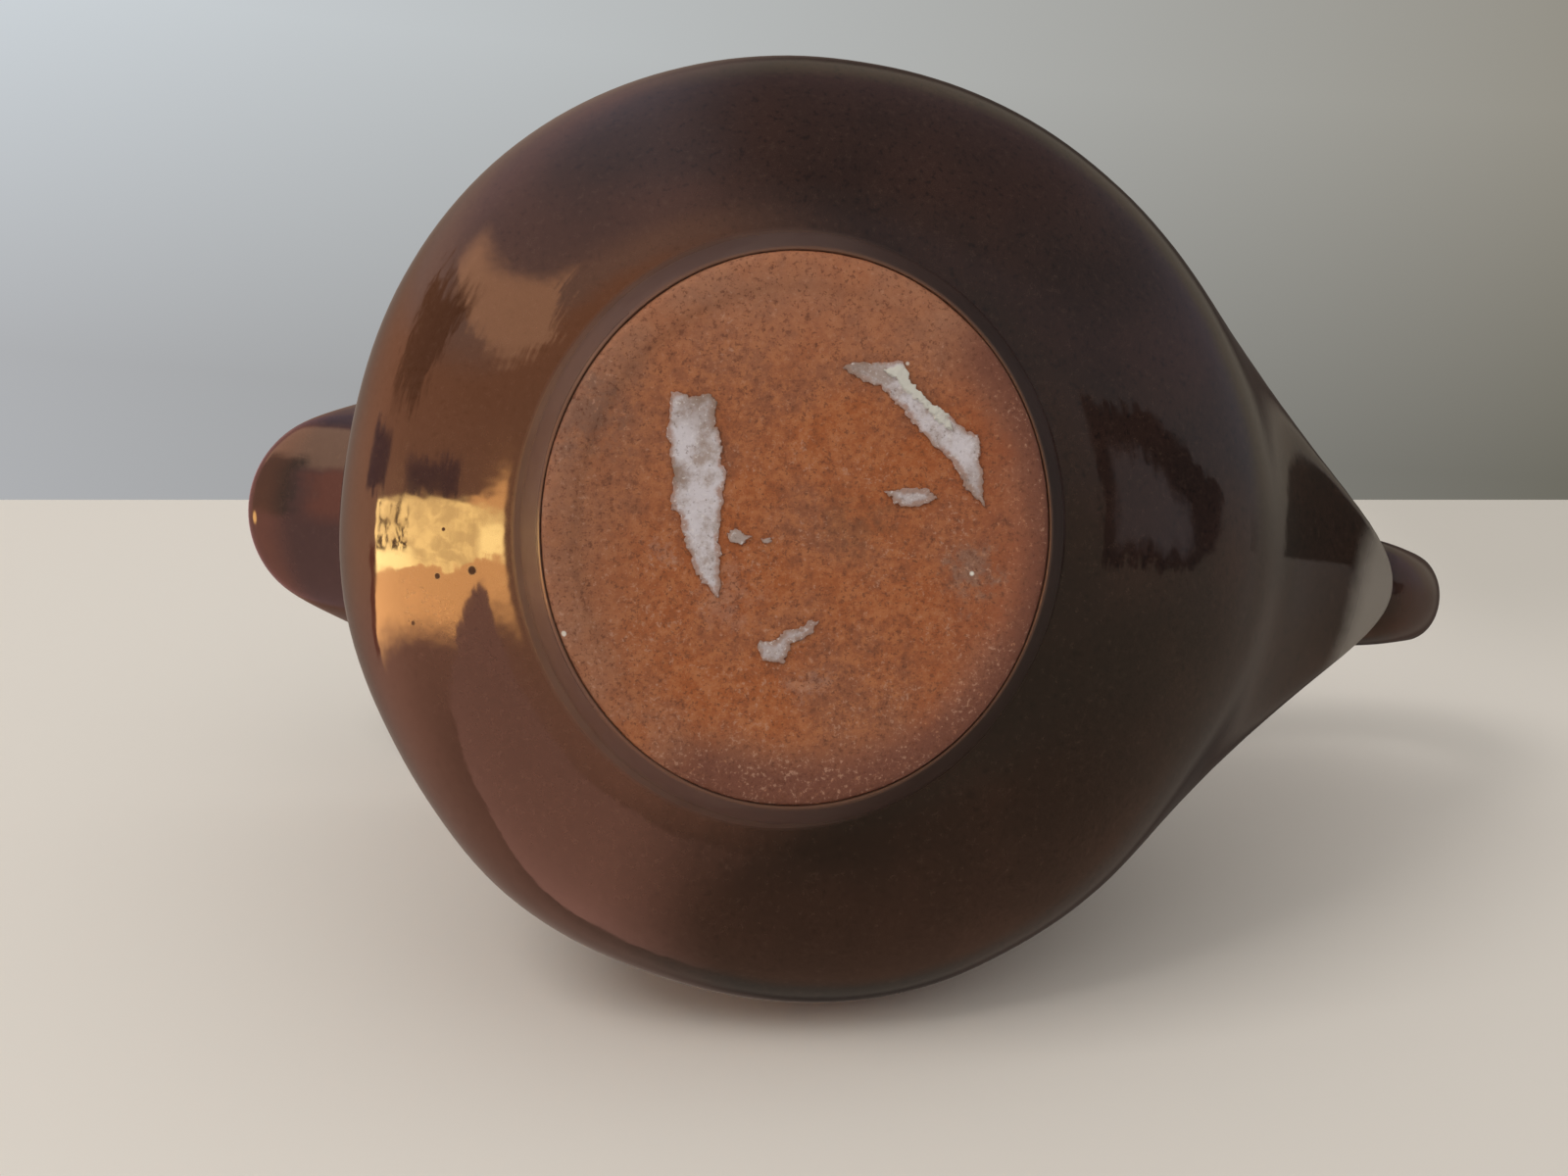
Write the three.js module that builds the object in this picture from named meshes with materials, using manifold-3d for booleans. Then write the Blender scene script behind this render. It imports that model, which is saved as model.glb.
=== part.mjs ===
// Creamer in brown glazed redware: a squat belly drawn out behind to a blunt tail, a loop handle
// from that tail to the neck, a pouring lip pulled forward from the rim, and a bare clay foot that
// still holds the torn remains of a paper label.
// Millimetres, +Z up. The origin is the centre of the foot, in the plane that the creamer stands on.
// +X points to the pouring lip, -X to the handle.

import * as THREE from "three";
import { mergeVertices } from "three/addons/utils/BufferGeometryUtils.js";
import Module from "manifold-3d";

// Foot: an oval slab of bare clay, slightly hollowed inside its bearing ring, with a bare spot in
// the middle that no scrap of paper reaches
const FOOT_HALF_WIDTH = 26;
const FOOT_HALF_LENGTH = 24;
const FOOT_BARE_HEIGHT = 1.6;
const FOOT_RECESS_DEPTH = 0.6;
const FOOT_RING_WIDTH = 2.6;
const FOOT_EDGE_ROUND = 0.5;
const FOOT_BARE_SPOT = 2.4;

// Foot wall: the glazed step from the bare slab up to the groove under the belly
const GROOVE_Z = 5.6;
const FOOT_WALL_FLARE = 2.4;
const GROOVE_DEPTH = 0.35;
const GROOVE_HEIGHT = 0.9;

// Belly, neck and rim: the half width at each, and the height where it is reached
const BELLY_HALF_WIDTH = 48.4;
const BELLY_HALF_LENGTH = 47;
const BELLY_Z = 22;
const BELLY_SHIFT_BACK = 4.2;
const BELLY_SHIFT_ASIDE = 0.7;
const BELLY_FULLNESS = 1.6;
const SHOULDER_DROOP = 1.15;
const NECK_HALF_WIDTH = 25.5;
const NECK_Z = 68;
const RIM_HALF_WIDTH = 28;
const RIM_Z = 86;

// Tail: the belly drawn out backwards and upwards, to carry the handle
const TAIL_REACH = 76;
const TAIL_TIP_Z = 46;
const TAIL_TIP_DEPTH = 4.5;
const TAIL_RISE = 32;
const TAIL_FALL = 26;
const TAIL_SWELL = 2.6;
const TAIL_EDGE_SOFTNESS = 3;
const TAIL_TAPER_DEG = 60.5;

// Pouring lip: the front of the neck drawn forward to a rounded beak
const LIP_REACH = 56.6;
const LIP_ROOT_Z = 54;
const LIP_SWELL = 1.6;
const LIP_LIFT = 3.5;
const LIP_TAPER_DEG = 68;
const LIP_SEAM_X = 17;
const LIP_SEAM_Z = 57;

// Wall of the vessel, the hollow inside it, and the height where the rim starts to round over
const WALL = 4;
const TAIL_END_WALL = 9;
const LIP_END_WALL = 5.4;
const RIM_WALL = 3.6;
const FLOOR_Z = 7.2;
const FLOOR_CORNER_RISE = 2.6;
const RIM_ROUND = 1.5;
const RIM_TURN_Z = RIM_Z - RIM_ROUND;

// Loop handle: its height above the tail, its outer reach, and its oval section
const HANDLE_REACH = 88.5;
const HANDLE_OUTERMOST_Z = 67;
const HANDLE_TOP_Z = 85.5;
const HANDLE_JOINT_Z = 75;
const HANDLE_HALF_WIDTH = 5.7;
const HANDLE_HALF_THICKNESS = 4.2;
const HANDLE_END_SPREAD = 1.5;
const HANDLE_GAP = 0.3;

// Ends of the handle's middle line: how far in from the tail's tip it starts and is pressed on, how
// deep and how high it lies there, its straight run up to the neck, and its drop inside the wall
const HANDLE_ROOT_INSET = 20;
const HANDLE_ROOT_DEPTH = 3;
const HANDLE_PRESS_INSET = 10.5;
const HANDLE_PRESS_RISE = 3.4;
const HANDLE_NECK_RUN = 3;
const HANDLE_NECK_DROP = 1.5;

// Paper label remains, stuck in the recess of the foot
const PAPER_THICKNESS = 0.2;

// How finely the round forms are divided
const SIDE_STEPS = 30;
const ARC_STEPS = 24;
const BOWL_LEVELS = 7;
const TAIL_UNDER_LEVELS = 7;
const TAIL_TIP_LEVELS = 6;
const SHOULDER_LEVELS = 7;
const NECK_LEVELS = 5;
const RIM_STEPS = 4;
const HANDLE_STEPS = 34;
const HANDLE_SIDES = 16;
const FOOT_SIDES = 60;

const TAIL_TAPER = THREE.MathUtils.degToRad(TAIL_TAPER_DEG);
const LIP_TAPER = THREE.MathUtils.degToRad(LIP_TAPER_DEG);

const GLAZE = { color: 0x35211b, roughness: 0.12, metalness: 0 };
const BARE_CLAY = { color: 0xa25f3e, roughness: 0.9, metalness: 0 };
const PAPER = { color: 0xb9aaa4, roughness: 0.95, metalness: 0 };

const wasm = await Module();
wasm.setup();

function clamp01(value) {
  return Math.min(1, Math.max(0, value));
}

function smoothStep(value) {
  const t = clamp01(value);
  return t * t * (3 - 2 * t);
}

function mix(from, to, share) {
  return from + (to - from) * share;
}

// Half width of the glazed foot wall, from the bare slab's edge to the groove
function footWallHalfWidth(z) {
  return FOOT_HALF_WIDTH + FOOT_WALL_FLARE * clamp01(z / GROOVE_Z);
}

// Half width of the vessel at a height: foot wall, bowl, shoulder, then neck and rim
function bodyHalfWidth(z) {
  const groove = FOOT_HALF_WIDTH + FOOT_WALL_FLARE;
  if (z < GROOVE_Z) {
    return footWallHalfWidth(z);
  }
  if (z < BELLY_Z) {
    const rise = (z - GROOVE_Z) / (BELLY_Z - GROOVE_Z);
    const swell = (1 - (1 - rise) ** BELLY_FULLNESS) ** (1 / BELLY_FULLNESS);
    return mix(groove, BELLY_HALF_WIDTH, swell);
  }
  if (z < NECK_Z) {
    const climb = ((z - BELLY_Z) / (NECK_Z - BELLY_Z)) ** SHOULDER_DROOP;
    return mix(BELLY_HALF_WIDTH, NECK_HALF_WIDTH, smoothStep(climb));
  }
  const flare = clamp01((z - NECK_Z) / (RIM_TURN_Z - NECK_Z));
  return mix(NECK_HALF_WIDTH, RIM_HALF_WIDTH, flare * flare);
}

// How much of the belly's plan shape a height has: none at the foot and at the neck
function bellyShare(z) {
  if (z < BELLY_Z) {
    return smoothStep(z / BELLY_Z);
  }
  return 1 - smoothStep((z - BELLY_Z) / (NECK_Z - BELLY_Z));
}

// Length of the plan over its width: oval foot, rounder belly, round neck
function planSlenderness(z) {
  const atFoot = FOOT_HALF_LENGTH / FOOT_HALF_WIDTH;
  const atBelly = BELLY_HALF_LENGTH / BELLY_HALF_WIDTH;
  if (z < BELLY_Z) {
    return mix(atFoot, atBelly, smoothStep(z / BELLY_Z));
  }
  return mix(atBelly, 1, smoothStep((z - BELLY_Z) / (NECK_Z - BELLY_Z)));
}

// Outline of the tail against height: it swells up to its blunt tip and falls away above it, and
// the three stretches run together in soft edges
function tailOutline(z, full) {
  const lowEdge = TAIL_TIP_Z - TAIL_TIP_DEPTH / 2;
  const highEdge = TAIL_TIP_Z + TAIL_TIP_DEPTH / 2;
  const below = full * clamp01((z - lowEdge + TAIL_RISE) / TAIL_RISE) ** TAIL_SWELL;
  const above = full * clamp01((highEdge + TAIL_FALL - z) / TAIL_FALL) ** TAIL_SWELL;
  const rising = z < lowEdge ? below : full + (z - lowEdge) * full * TAIL_SWELL / TAIL_RISE;
  const falling = z > highEdge ? above : full + (highEdge - z) * full * TAIL_SWELL / TAIL_FALL;
  const stretches = [rising, falling, full];
  const soft = stretches.reduce((sum, reach) => sum + Math.exp(-reach / TAIL_EDGE_SOFTNESS), 0);
  return Math.max(0, -TAIL_EDGE_SOFTNESS * Math.log(soft));
}

// How far the tail stands out behind the round body
function tailStandOut(z) {
  const full = TAIL_REACH - BELLY_SHIFT_BACK * bellyShare(TAIL_TIP_Z) - bodyHalfWidth(TAIL_TIP_Z);
  return full * tailOutline(z, full) / tailOutline(TAIL_TIP_Z, full);
}

// How far the pouring lip stands out in front of the round neck
function lipStandOut(z) {
  const climb = clamp01((z - LIP_ROOT_Z) / (RIM_TURN_Z - LIP_ROOT_Z));
  return (LIP_REACH - RIM_HALF_WIDTH) * climb ** LIP_SWELL;
}

// A circle drawn out to a point at a taper: the round end that closes it, and where it is centred
function drawnOutEnd(radius, standOut, taper) {
  const centre = standOut / (1 - Math.cos(taper));
  return { centre, radius: radius - centre * Math.cos(taper) };
}

function addArc(points, centreX, radius, from, to) {
  for (let step = 0; step <= ARC_STEPS; step += 1) {
    const turn = mix(from, to, step / ARC_STEPS);
    points.push({ x: centreX + radius * Math.cos(turn), y: radius * Math.sin(turn), turn });
  }
}

// Points along one side of an outline, spread evenly by length and by turning together
function spreadPoints(dense, steps) {
  const travel = [0];
  const lengths = dense.slice(1).map((p, i) => Math.hypot(p.x - dense[i].x, p.y - dense[i].y));
  const total = lengths.reduce((sum, length) => sum + length, 0);
  lengths.forEach((length, i) => {
    const turned = (dense[i + 1].turn - dense[i].turn) / Math.PI;
    travel.push(travel[i] + 0.5 * length / total + 0.5 * turned);
  });
  const side = [];
  let at = 0;
  for (let step = 0; step <= steps; step += 1) {
    const goal = step / steps;
    while (at < travel.length - 2 && travel[at + 1] < goal) {
      at += 1;
    }
    const share = clamp01((goal - travel[at]) / (travel[at + 1] - travel[at]));
    side.push([mix(dense[at].x, dense[at + 1].x, share), mix(dense[at].y, dense[at + 1].y, share)]);
  }
  return side;
}

// One level of the body as a closed ring of points, from the lip end round to the tail and back
function planRing(z, level) {
  const { halfWidth, tailOut, lipOut, slenderness, shift, aside, lift } = level;
  const lip = drawnOutEnd(halfWidth, lipOut, LIP_TAPER);
  const tail = drawnOutEnd(halfWidth, tailOut, TAIL_TAPER);
  const dense = [];
  addArc(dense, lip.centre, lip.radius, 0, LIP_TAPER);
  addArc(dense, 0, halfWidth, LIP_TAPER, Math.PI - TAIL_TAPER);
  addArc(dense, -tail.centre, tail.radius, Math.PI - TAIL_TAPER, Math.PI);
  const side = spreadPoints(dense, SIDE_STEPS);
  const back = side.slice(1, -1).reverse().map(([x, y]) => [x, -y]);
  return [...side, ...back].map(([x, y]) => {
    const beak = lipOut > 0 ? clamp01((x - halfWidth) / lipOut) : 0;
    return new THREE.Vector3(x * slenderness - shift, y + aside, z + lift * beak * beak);
  });
}

// The outside of the vessel at a height, grown by a margin
function outerLevel(z, margin = 0) {
  return {
    halfWidth: bodyHalfWidth(z) + margin,
    tailOut: tailStandOut(z),
    lipOut: lipStandOut(z),
    slenderness: planSlenderness(z),
    shift: BELLY_SHIFT_BACK * bellyShare(z),
    aside: BELLY_SHIFT_ASIDE * bellyShare(z),
    lift: LIP_LIFT * lipStandOut(z) / lipStandOut(RIM_TURN_Z),
  };
}

// The hollow at a height: the outside brought in by the wall, with a rounded corner at the floor,
// and with more clay left at the ends of the tail and the lip
function hollowLevel(z) {
  const corner = FLOOR_CORNER_RISE * (1 - smoothStep((z - FLOOR_Z) / (BELLY_Z - FLOOR_Z)));
  const wall = mix(WALL, RIM_WALL, clamp01((z - NECK_Z) / (RIM_TURN_Z - NECK_Z)));
  const level = outerLevel(z - corner);
  return {
    ...level,
    halfWidth: level.halfWidth - wall,
    tailOut: level.tailOut * (1 - (TAIL_END_WALL - wall) / tailStandOut(TAIL_TIP_Z)),
    lipOut: level.lipOut * (1 - (LIP_END_WALL - wall) / lipStandOut(RIM_TURN_Z)),
    lift: LIP_LIFT * lipStandOut(z) / lipStandOut(RIM_TURN_Z),
  };
}

// Evenly spaced heights above one height, up to and with another
function climb(from, to, levels) {
  return Array.from({ length: levels }, (_, step) => mix(from, to, (step + 1) / levels));
}

// Heights of the rings from the groove to where the rim rounds over, closer round the tail's edge
function bodyHeights() {
  const edgeBottom = TAIL_TIP_Z - TAIL_TIP_DEPTH;
  const edgeTop = TAIL_TIP_Z + TAIL_TIP_DEPTH;
  const bowl = climb(0, 1, BOWL_LEVELS).map((share) => mix(GROOVE_Z, BELLY_Z, share ** 1.25));
  return [
    ...bowl,
    ...climb(BELLY_Z, edgeBottom, TAIL_UNDER_LEVELS),
    ...climb(edgeBottom, edgeTop, TAIL_TIP_LEVELS),
    ...climb(edgeTop, NECK_Z, SHOULDER_LEVELS),
    ...climb(NECK_Z, RIM_TURN_Z, NECK_LEVELS),
  ];
}

// Heights of the outside rings, from the bare slab up
function outerHeights() {
  return [FOOT_BARE_HEIGHT, GROOVE_Z - GROOVE_HEIGHT, GROOVE_Z, ...bodyHeights()];
}

function outerRing(z, margin = 0) {
  const groove = z === GROOVE_Z ? GROOVE_DEPTH : 0;
  return planRing(z, outerLevel(z, margin - groove));
}

// Rings that carry the rim over from the outside to the hollow in a half round
function rimRings(outside, inside) {
  const rings = [];
  for (let step = 1; step < RIM_STEPS; step += 1) {
    const turn = Math.PI * step / RIM_STEPS;
    rings.push(outside.map((point, i) => {
      const middle = point.clone().add(inside[i]).multiplyScalar(0.5);
      const across = point.clone().sub(middle).multiplyScalar(Math.cos(turn));
      return middle.add(across).setZ(middle.z + RIM_ROUND * Math.sin(turn));
    }));
  }
  return rings;
}

// Rings of the hollow, from the rim down to the floor
function hollowRings() {
  const heights = bodyHeights().filter((z) => z > FLOOR_Z + FLOOR_CORNER_RISE / 2);
  return [FLOOR_Z, ...heights].reverse().map((z) => planRing(z, hollowLevel(z)));
}

// A closed skin over a stack of rings, with a flat fan at each end
function skinOverRings(rings) {
  const count = rings[0].length;
  const positions = rings.flat().flatMap((p) => [p.x, p.y, p.z]);
  const faces = [];
  for (let ring = 0; ring < rings.length - 1; ring += 1) {
    for (let i = 0; i < count; i += 1) {
      const next = (i + 1) % count;
      const low = ring * count;
      const high = low + count;
      faces.push(low + i, low + next, high + next, low + i, high + next, high + i);
    }
  }
  const centreOf = (ring) => {
    const sum = ring.reduce((total, p) => total.add(p), new THREE.Vector3());
    return sum.divideScalar(count);
  };
  [0, rings.length - 1].forEach((ring, end) => {
    const centre = centreOf(rings[ring]);
    const hub = positions.length / 3;
    positions.push(centre.x, centre.y, centre.z);
    for (let i = 0; i < count; i += 1) {
      const next = (i + 1) % count;
      const at = ring * count;
      faces.push(hub, ...(end === 0 ? [at + next, at + i] : [at + i, at + next]));
    }
  });
  const geometry = new THREE.BufferGeometry();
  geometry.setAttribute("position", new THREE.Float32BufferAttribute(positions, 3));
  geometry.setIndex(faces);
  return geometry;
}

function toSolid(geometry) {
  const bare = geometry.clone();
  bare.deleteAttribute("normal");
  bare.deleteAttribute("uv");
  const merged = mergeVertices(bare, 1e-4);
  const mesh = new wasm.Mesh({
    numProp: 3,
    vertProperties: new Float32Array(merged.attributes.position.array),
    triVerts: new Uint32Array(merged.index.array),
  });
  return new wasm.Manifold(mesh);
}

function toGeometry(solid) {
  const mesh = solid.getMesh();
  const geometry = new THREE.BufferGeometry();
  geometry.setAttribute("position", new THREE.BufferAttribute(mesh.vertProperties, 3));
  geometry.setIndex(new THREE.BufferAttribute(mesh.triVerts, 1));
  return geometry;
}

function makeMesh(name, geometry, finish) {
  geometry.computeVertexNormals();
  const mesh = new THREE.Mesh(geometry, new THREE.MeshStandardMaterial(finish));
  mesh.name = name;
  return mesh;
}

// The vessel with its lip still on it: outside, rim and hollow as one skin
function wholeVessel() {
  const outside = outerHeights().map((z) => outerRing(z));
  const inside = hollowRings();
  const rim = rimRings(outside[outside.length - 1], inside[0]);
  return toSolid(skinOverRings([...outside, ...rim, ...inside]));
}

// The block in front of the neck that divides the pouring lip from the vessel
function lipBlock() {
  const front = LIP_REACH + WALL;
  const top = RIM_Z + LIP_LIFT + WALL;
  const width = 4 * BELLY_HALF_WIDTH;
  const block = new THREE.BoxGeometry(front - LIP_SEAM_X, width, top - LIP_SEAM_Z);
  block.translate((front + LIP_SEAM_X) / 2, 0, (top + LIP_SEAM_Z) / 2);
  return toSolid(block);
}

// The space that the vessel fills, hollow and all, with the handle's gap round it
function vesselEnvelope() {
  const heights = outerHeights();
  const rings = heights.map((z) => outerRing(z, HANDLE_GAP));
  const top = outerRing(RIM_TURN_Z, HANDLE_GAP).map((p) => p.clone().setZ(p.z + 2 * RIM_ROUND));
  const skin = skinOverRings([...rings, top]);
  const raised = skin.clone().translate(0, 0, HANDLE_GAP);
  const lowered = skin.clone().translate(0, 0, -HANDLE_GAP);
  return toSolid(skin).add(toSolid(raised)).add(toSolid(lowered));
}

// Middle line of the handle: out of the tail's top, round the finger gap and back into the neck
function handleRoute() {
  const outer = -HANDLE_REACH + HANDLE_HALF_THICKNESS;
  const crown = HANDLE_TOP_Z - HANDLE_HALF_THICKNESS;
  const neck = -bodyHalfWidth(HANDLE_JOINT_Z);
  const points = [
    [-TAIL_REACH + HANDLE_ROOT_INSET, TAIL_TIP_Z - HANDLE_ROOT_DEPTH],
    [-TAIL_REACH + HANDLE_PRESS_INSET, TAIL_TIP_Z + HANDLE_PRESS_RISE],
    [mix(-TAIL_REACH, outer, 0.25), mix(TAIL_TIP_Z, HANDLE_OUTERMOST_Z, 0.42)],
    [outer, HANDLE_OUTERMOST_Z],
    [mix(outer, neck, 0.1), mix(HANDLE_OUTERMOST_Z, crown, 0.66)],
    [mix(outer, neck, 0.36), crown],
    [mix(outer, neck, 0.66), mix(crown, HANDLE_JOINT_Z, 0.2)],
    [neck - HANDLE_NECK_RUN, HANDLE_JOINT_Z],
    [neck + WALL, HANDLE_JOINT_Z - HANDLE_NECK_DROP],
  ];
  return new THREE.CatmullRomCurve3(points.map(([x, z]) => new THREE.Vector3(x, 0, z)), false, "centripetal");
}

// The handle swept along its route, spread at both ends where it is pressed on to the vessel
function handleSweep() {
  const route = handleRoute();
  const rings = [];
  for (let step = 0; step <= HANDLE_STEPS; step += 1) {
    const share = step / HANDLE_STEPS;
    const point = route.getPointAt(share);
    const along = route.getTangentAt(share);
    const across = new THREE.Vector3(along.z, 0, -along.x);
    const toEnd = clamp01(Math.min(share / 0.24, (1 - share) / 0.2));
    const spread = mix(HANDLE_END_SPREAD, 1, smoothStep(toEnd));
    const ring = [];
    for (let side = 0; side < HANDLE_SIDES; side += 1) {
      const turn = 2 * Math.PI * side / HANDLE_SIDES;
      const thick = HANDLE_HALF_THICKNESS * mix(1, spread, 0.4) * Math.cos(turn);
      const wide = HANDLE_HALF_WIDTH * spread * Math.sin(turn);
      ring.push(point.clone().addScaledVector(across, thick).setY(wide));
    }
    rings.push(ring);
  }
  return toSolid(skinOverRings(rings));
}

// Bare foot: bearing ring, recess and rounded edge, turned round and then made oval
function footDisc() {
  const top = footWallHalfWidth(FOOT_BARE_HEIGHT);
  const recess = FOOT_HALF_WIDTH - FOOT_RING_WIDTH;
  const profile = [
    [0, FOOT_RECESS_DEPTH],
    [FOOT_BARE_SPOT, FOOT_RECESS_DEPTH],
    [recess - 2 * FOOT_RECESS_DEPTH, FOOT_RECESS_DEPTH],
    [recess, 0],
    [FOOT_HALF_WIDTH - FOOT_EDGE_ROUND, 0],
    [FOOT_HALF_WIDTH - 0.3 * FOOT_EDGE_ROUND, 0.3 * FOOT_EDGE_ROUND],
    [footWallHalfWidth(FOOT_EDGE_ROUND), FOOT_EDGE_ROUND],
    [top, FOOT_BARE_HEIGHT],
    [0, FOOT_BARE_HEIGHT],
  ];
  const turned = new THREE.LatheGeometry(profile.map(([r, z]) => new THREE.Vector2(r, z)), FOOT_SIDES);
  turned.rotateX(Math.PI / 2);
  turned.scale(FOOT_HALF_LENGTH / FOOT_HALF_WIDTH, 1, 1);
  return toGeometry(toSolid(turned));
}

// One scrap of paper: its torn outline, pressed flat against the roof of the recess
function paperScrap(outline) {
  const shape = new THREE.Shape(outline.map(([x, y]) => new THREE.Vector2(x, y)));
  const sheet = new THREE.ExtrudeGeometry(shape, { depth: PAPER_THICKNESS, bevelEnabled: false });
  sheet.translate(0, 0, FOOT_RECESS_DEPTH - PAPER_THICKNESS);
  return sheet;
}

const LABEL_REMAINS = {
  label_strip: [
    [13.0, 11.6], [9.1, 11.8], [8.3, 8.5], [7.4, 4.0], [7.5, 0.2], [7.0, -7.1], [8.6, -6.1],
    [9.9, -4.1], [10.7, -0.9], [12.1, 0.8], [12.2, 4.5], [12.9, 7.3],
  ],
  label_torn_corner: [
    [-2.8, 15.5], [-5.8, 16.4], [-8.3, 16.7], [-9.8, 14.3], [-12.1, 12.8], [-16.5, 9.9], [-17.6, 3.7],
    [-15.9, 5.2], [-14.3, 7.8], [-11.9, 9.1], [-9.9, 11.2], [-7.4, 13.5],
  ],
  label_scrap_middle: [[-8.0, 4.3], [-12.0, 4.7], [-13.0, 3.8], [-10.9, 3.0], [-9.1, 3.0]],
  label_scrap_low: [
    [2.9, -11.0], [1.5, -11.0], [0.1, -9.8], [-2.5, -8.3], [-2.1, -9.7], [-0.1, -11.0], [0.6, -13.1],
    [2.4, -12.5],
  ],
  label_crumb_long: [[6.6, -1.1], [5.9, -0.6], [4.3, -1.2], [5.0, -1.9], [6.4, -1.7]],
  label_crumb_small: [[3.2, -1.3], [2.5, -1.2], [2.4, -1.8], [3.1, -1.8]],
};

const group = new THREE.Group();

const whole = wholeVessel();
const block = lipBlock();
group.add(makeMesh("vessel_wall", toGeometry(whole.subtract(block)), GLAZE));
group.add(makeMesh("pouring_lip", toGeometry(whole.intersect(block)), GLAZE));
group.add(makeMesh("handle", toGeometry(handleSweep().subtract(vesselEnvelope())), GLAZE));
group.add(makeMesh("foot_disc", footDisc(), BARE_CLAY));
Object.entries(LABEL_REMAINS).forEach(([name, outline]) => {
  group.add(makeMesh(name, paperScrap(outline), PAPER));
});

export default group;
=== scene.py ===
import math

import bmesh
import bpy
from mathutils import Matrix, Vector, kdtree


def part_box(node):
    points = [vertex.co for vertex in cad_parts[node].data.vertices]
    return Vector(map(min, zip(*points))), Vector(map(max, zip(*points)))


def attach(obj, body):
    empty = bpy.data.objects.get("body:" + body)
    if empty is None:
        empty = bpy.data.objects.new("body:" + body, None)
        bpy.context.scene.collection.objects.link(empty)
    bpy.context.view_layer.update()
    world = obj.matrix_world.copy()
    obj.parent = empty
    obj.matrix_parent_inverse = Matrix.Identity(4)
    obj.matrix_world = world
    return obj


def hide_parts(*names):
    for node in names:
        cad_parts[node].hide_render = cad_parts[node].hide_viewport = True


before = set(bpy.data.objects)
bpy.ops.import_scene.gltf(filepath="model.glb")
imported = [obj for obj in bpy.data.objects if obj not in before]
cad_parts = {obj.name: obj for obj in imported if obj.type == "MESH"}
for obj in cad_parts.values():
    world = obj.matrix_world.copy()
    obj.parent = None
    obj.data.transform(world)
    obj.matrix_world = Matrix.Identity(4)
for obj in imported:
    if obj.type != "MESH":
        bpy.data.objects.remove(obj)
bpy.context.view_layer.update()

# Creamer in dark brown glazed redware, lying on its side with the foot towards the camera.
# Metres. +Z runs out of the mouth, +X to the pouring lip, -X to the tail and the handle.

MM = 0.001


def mm(*sizes):
    """Sizes in millimetres, as metres."""
    return tuple(size * MM for size in sizes)


vessel_low, vessel_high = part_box("vessel_wall")
handle_low, handle_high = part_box("handle")
lip_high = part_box("pouring_lip")[1]
foot_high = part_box("foot_disc")[1]

# Foot: half sizes of the bare clay at the standing plane, and the glazed wall above it
FOOT_HALF_WIDTH = 26 * MM
FOOT_HALF_LENGTH = 24 * MM
FOOT_BARE_HEIGHT = foot_high.z
FOOT_RECESS_DEPTH = 0.6 * MM
FOOT_RING_WIDTH = 2.6 * MM
FOOT_WALL_FLARE = 2.4 * MM
GROOVE_Z = 5.6 * MM
GROOVE_DEPTH = 0.5 * MM

# Belly, neck and rim
BELLY_HALF_WIDTH = (vessel_high.y - vessel_low.y) / 2
BELLY_SHIFT_ASIDE = (vessel_high.y + vessel_low.y) / 2
BELLY_HALF_LENGTH = 47 * MM
BELLY_Z = 22 * MM
BELLY_SHIFT_BACK = 4.2 * MM
BELLY_FULLNESS = 1.6
SHOULDER_DROOP = 1.15
NECK_HALF_WIDTH = 25.5 * MM
NECK_Z = 68 * MM
RIM_HALF_WIDTH = 28 * MM
RIM_ROUND = 1.5 * MM
RIM_TURN_Z = vessel_high.z - RIM_ROUND

# Each bulge or hollow of the hand-made belly: its turn from the lip in degrees, height and narrowness
BELLY_BULGES = (
    (52, 1.1 * MM, 6), (30, 0.8 * MM, 10), (-12, 0.9 * MM, 30),
    (-55, 0.7 * MM, 40), (-110, 0.9 * MM, 12), (120, 0.6 * MM, 25), (-152, -1.4 * MM, 30),
)

# Tail and pouring lip
TAIL_REACH = -vessel_low.x
TAIL_TIP_Z = 46 * MM
TAIL_TIP_DEPTH = 5.5 * MM
TAIL_RISE = 32 * MM
TAIL_FALL = 26 * MM
TAIL_SWELL = 2.6
TAIL_EDGE_SOFTNESS = 2 * MM
TAIL_END_LEAN = 0.6
TAIL_TAPER = math.radians(60.5)
LIP_REACH = lip_high.x
LIP_ROOT_Z = 54 * MM
LIP_SWELL = 1.6
LIP_LIFT = 3.5 * MM
LIP_TAPER = math.radians(69.6)

# Walls and hollow
WALL = 4 * MM
RIM_WALL = 3.6 * MM
TAIL_END_WALL = 9 * MM
LIP_END_WALL = 5.4 * MM
FLOOR_Z = 7.2 * MM
FLOOR_CORNER_RISE = 2.6 * MM

# Handle
HANDLE_REACH = -handle_low.x
HANDLE_TOP_Z = handle_high.z
HANDLE_OUTERMOST_Z = 67 * MM
HANDLE_JOINT_Z = 75 * MM
HANDLE_HALF_WIDTH = 5.2 * MM
HANDLE_HALF_THICKNESS = 4.2 * MM
HANDLE_END_SPREAD = 1.35
HANDLE_STEPS = 12

# Heights in millimetres of the three rings that each end of the handle is joined to
TAIL_PATCH_HEIGHTS = (48.3, 50.4, 52.7)
NECK_PATCH_HEIGHTS = (70.6, 75.2, 79.8)

# Glaze: how thick it lies over the clay of the foot, and where its edge is
GLAZE_THICKNESS = 0.35 * MM
GLAZE_EDGE_Z = 0.45 * MM
CLAY_AT_EDGE = FOOT_HALF_WIDTH + 0.15 * MM
GLAZE_AT_GROOVE = FOOT_HALF_WIDTH + FOOT_WALL_FLARE

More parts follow.
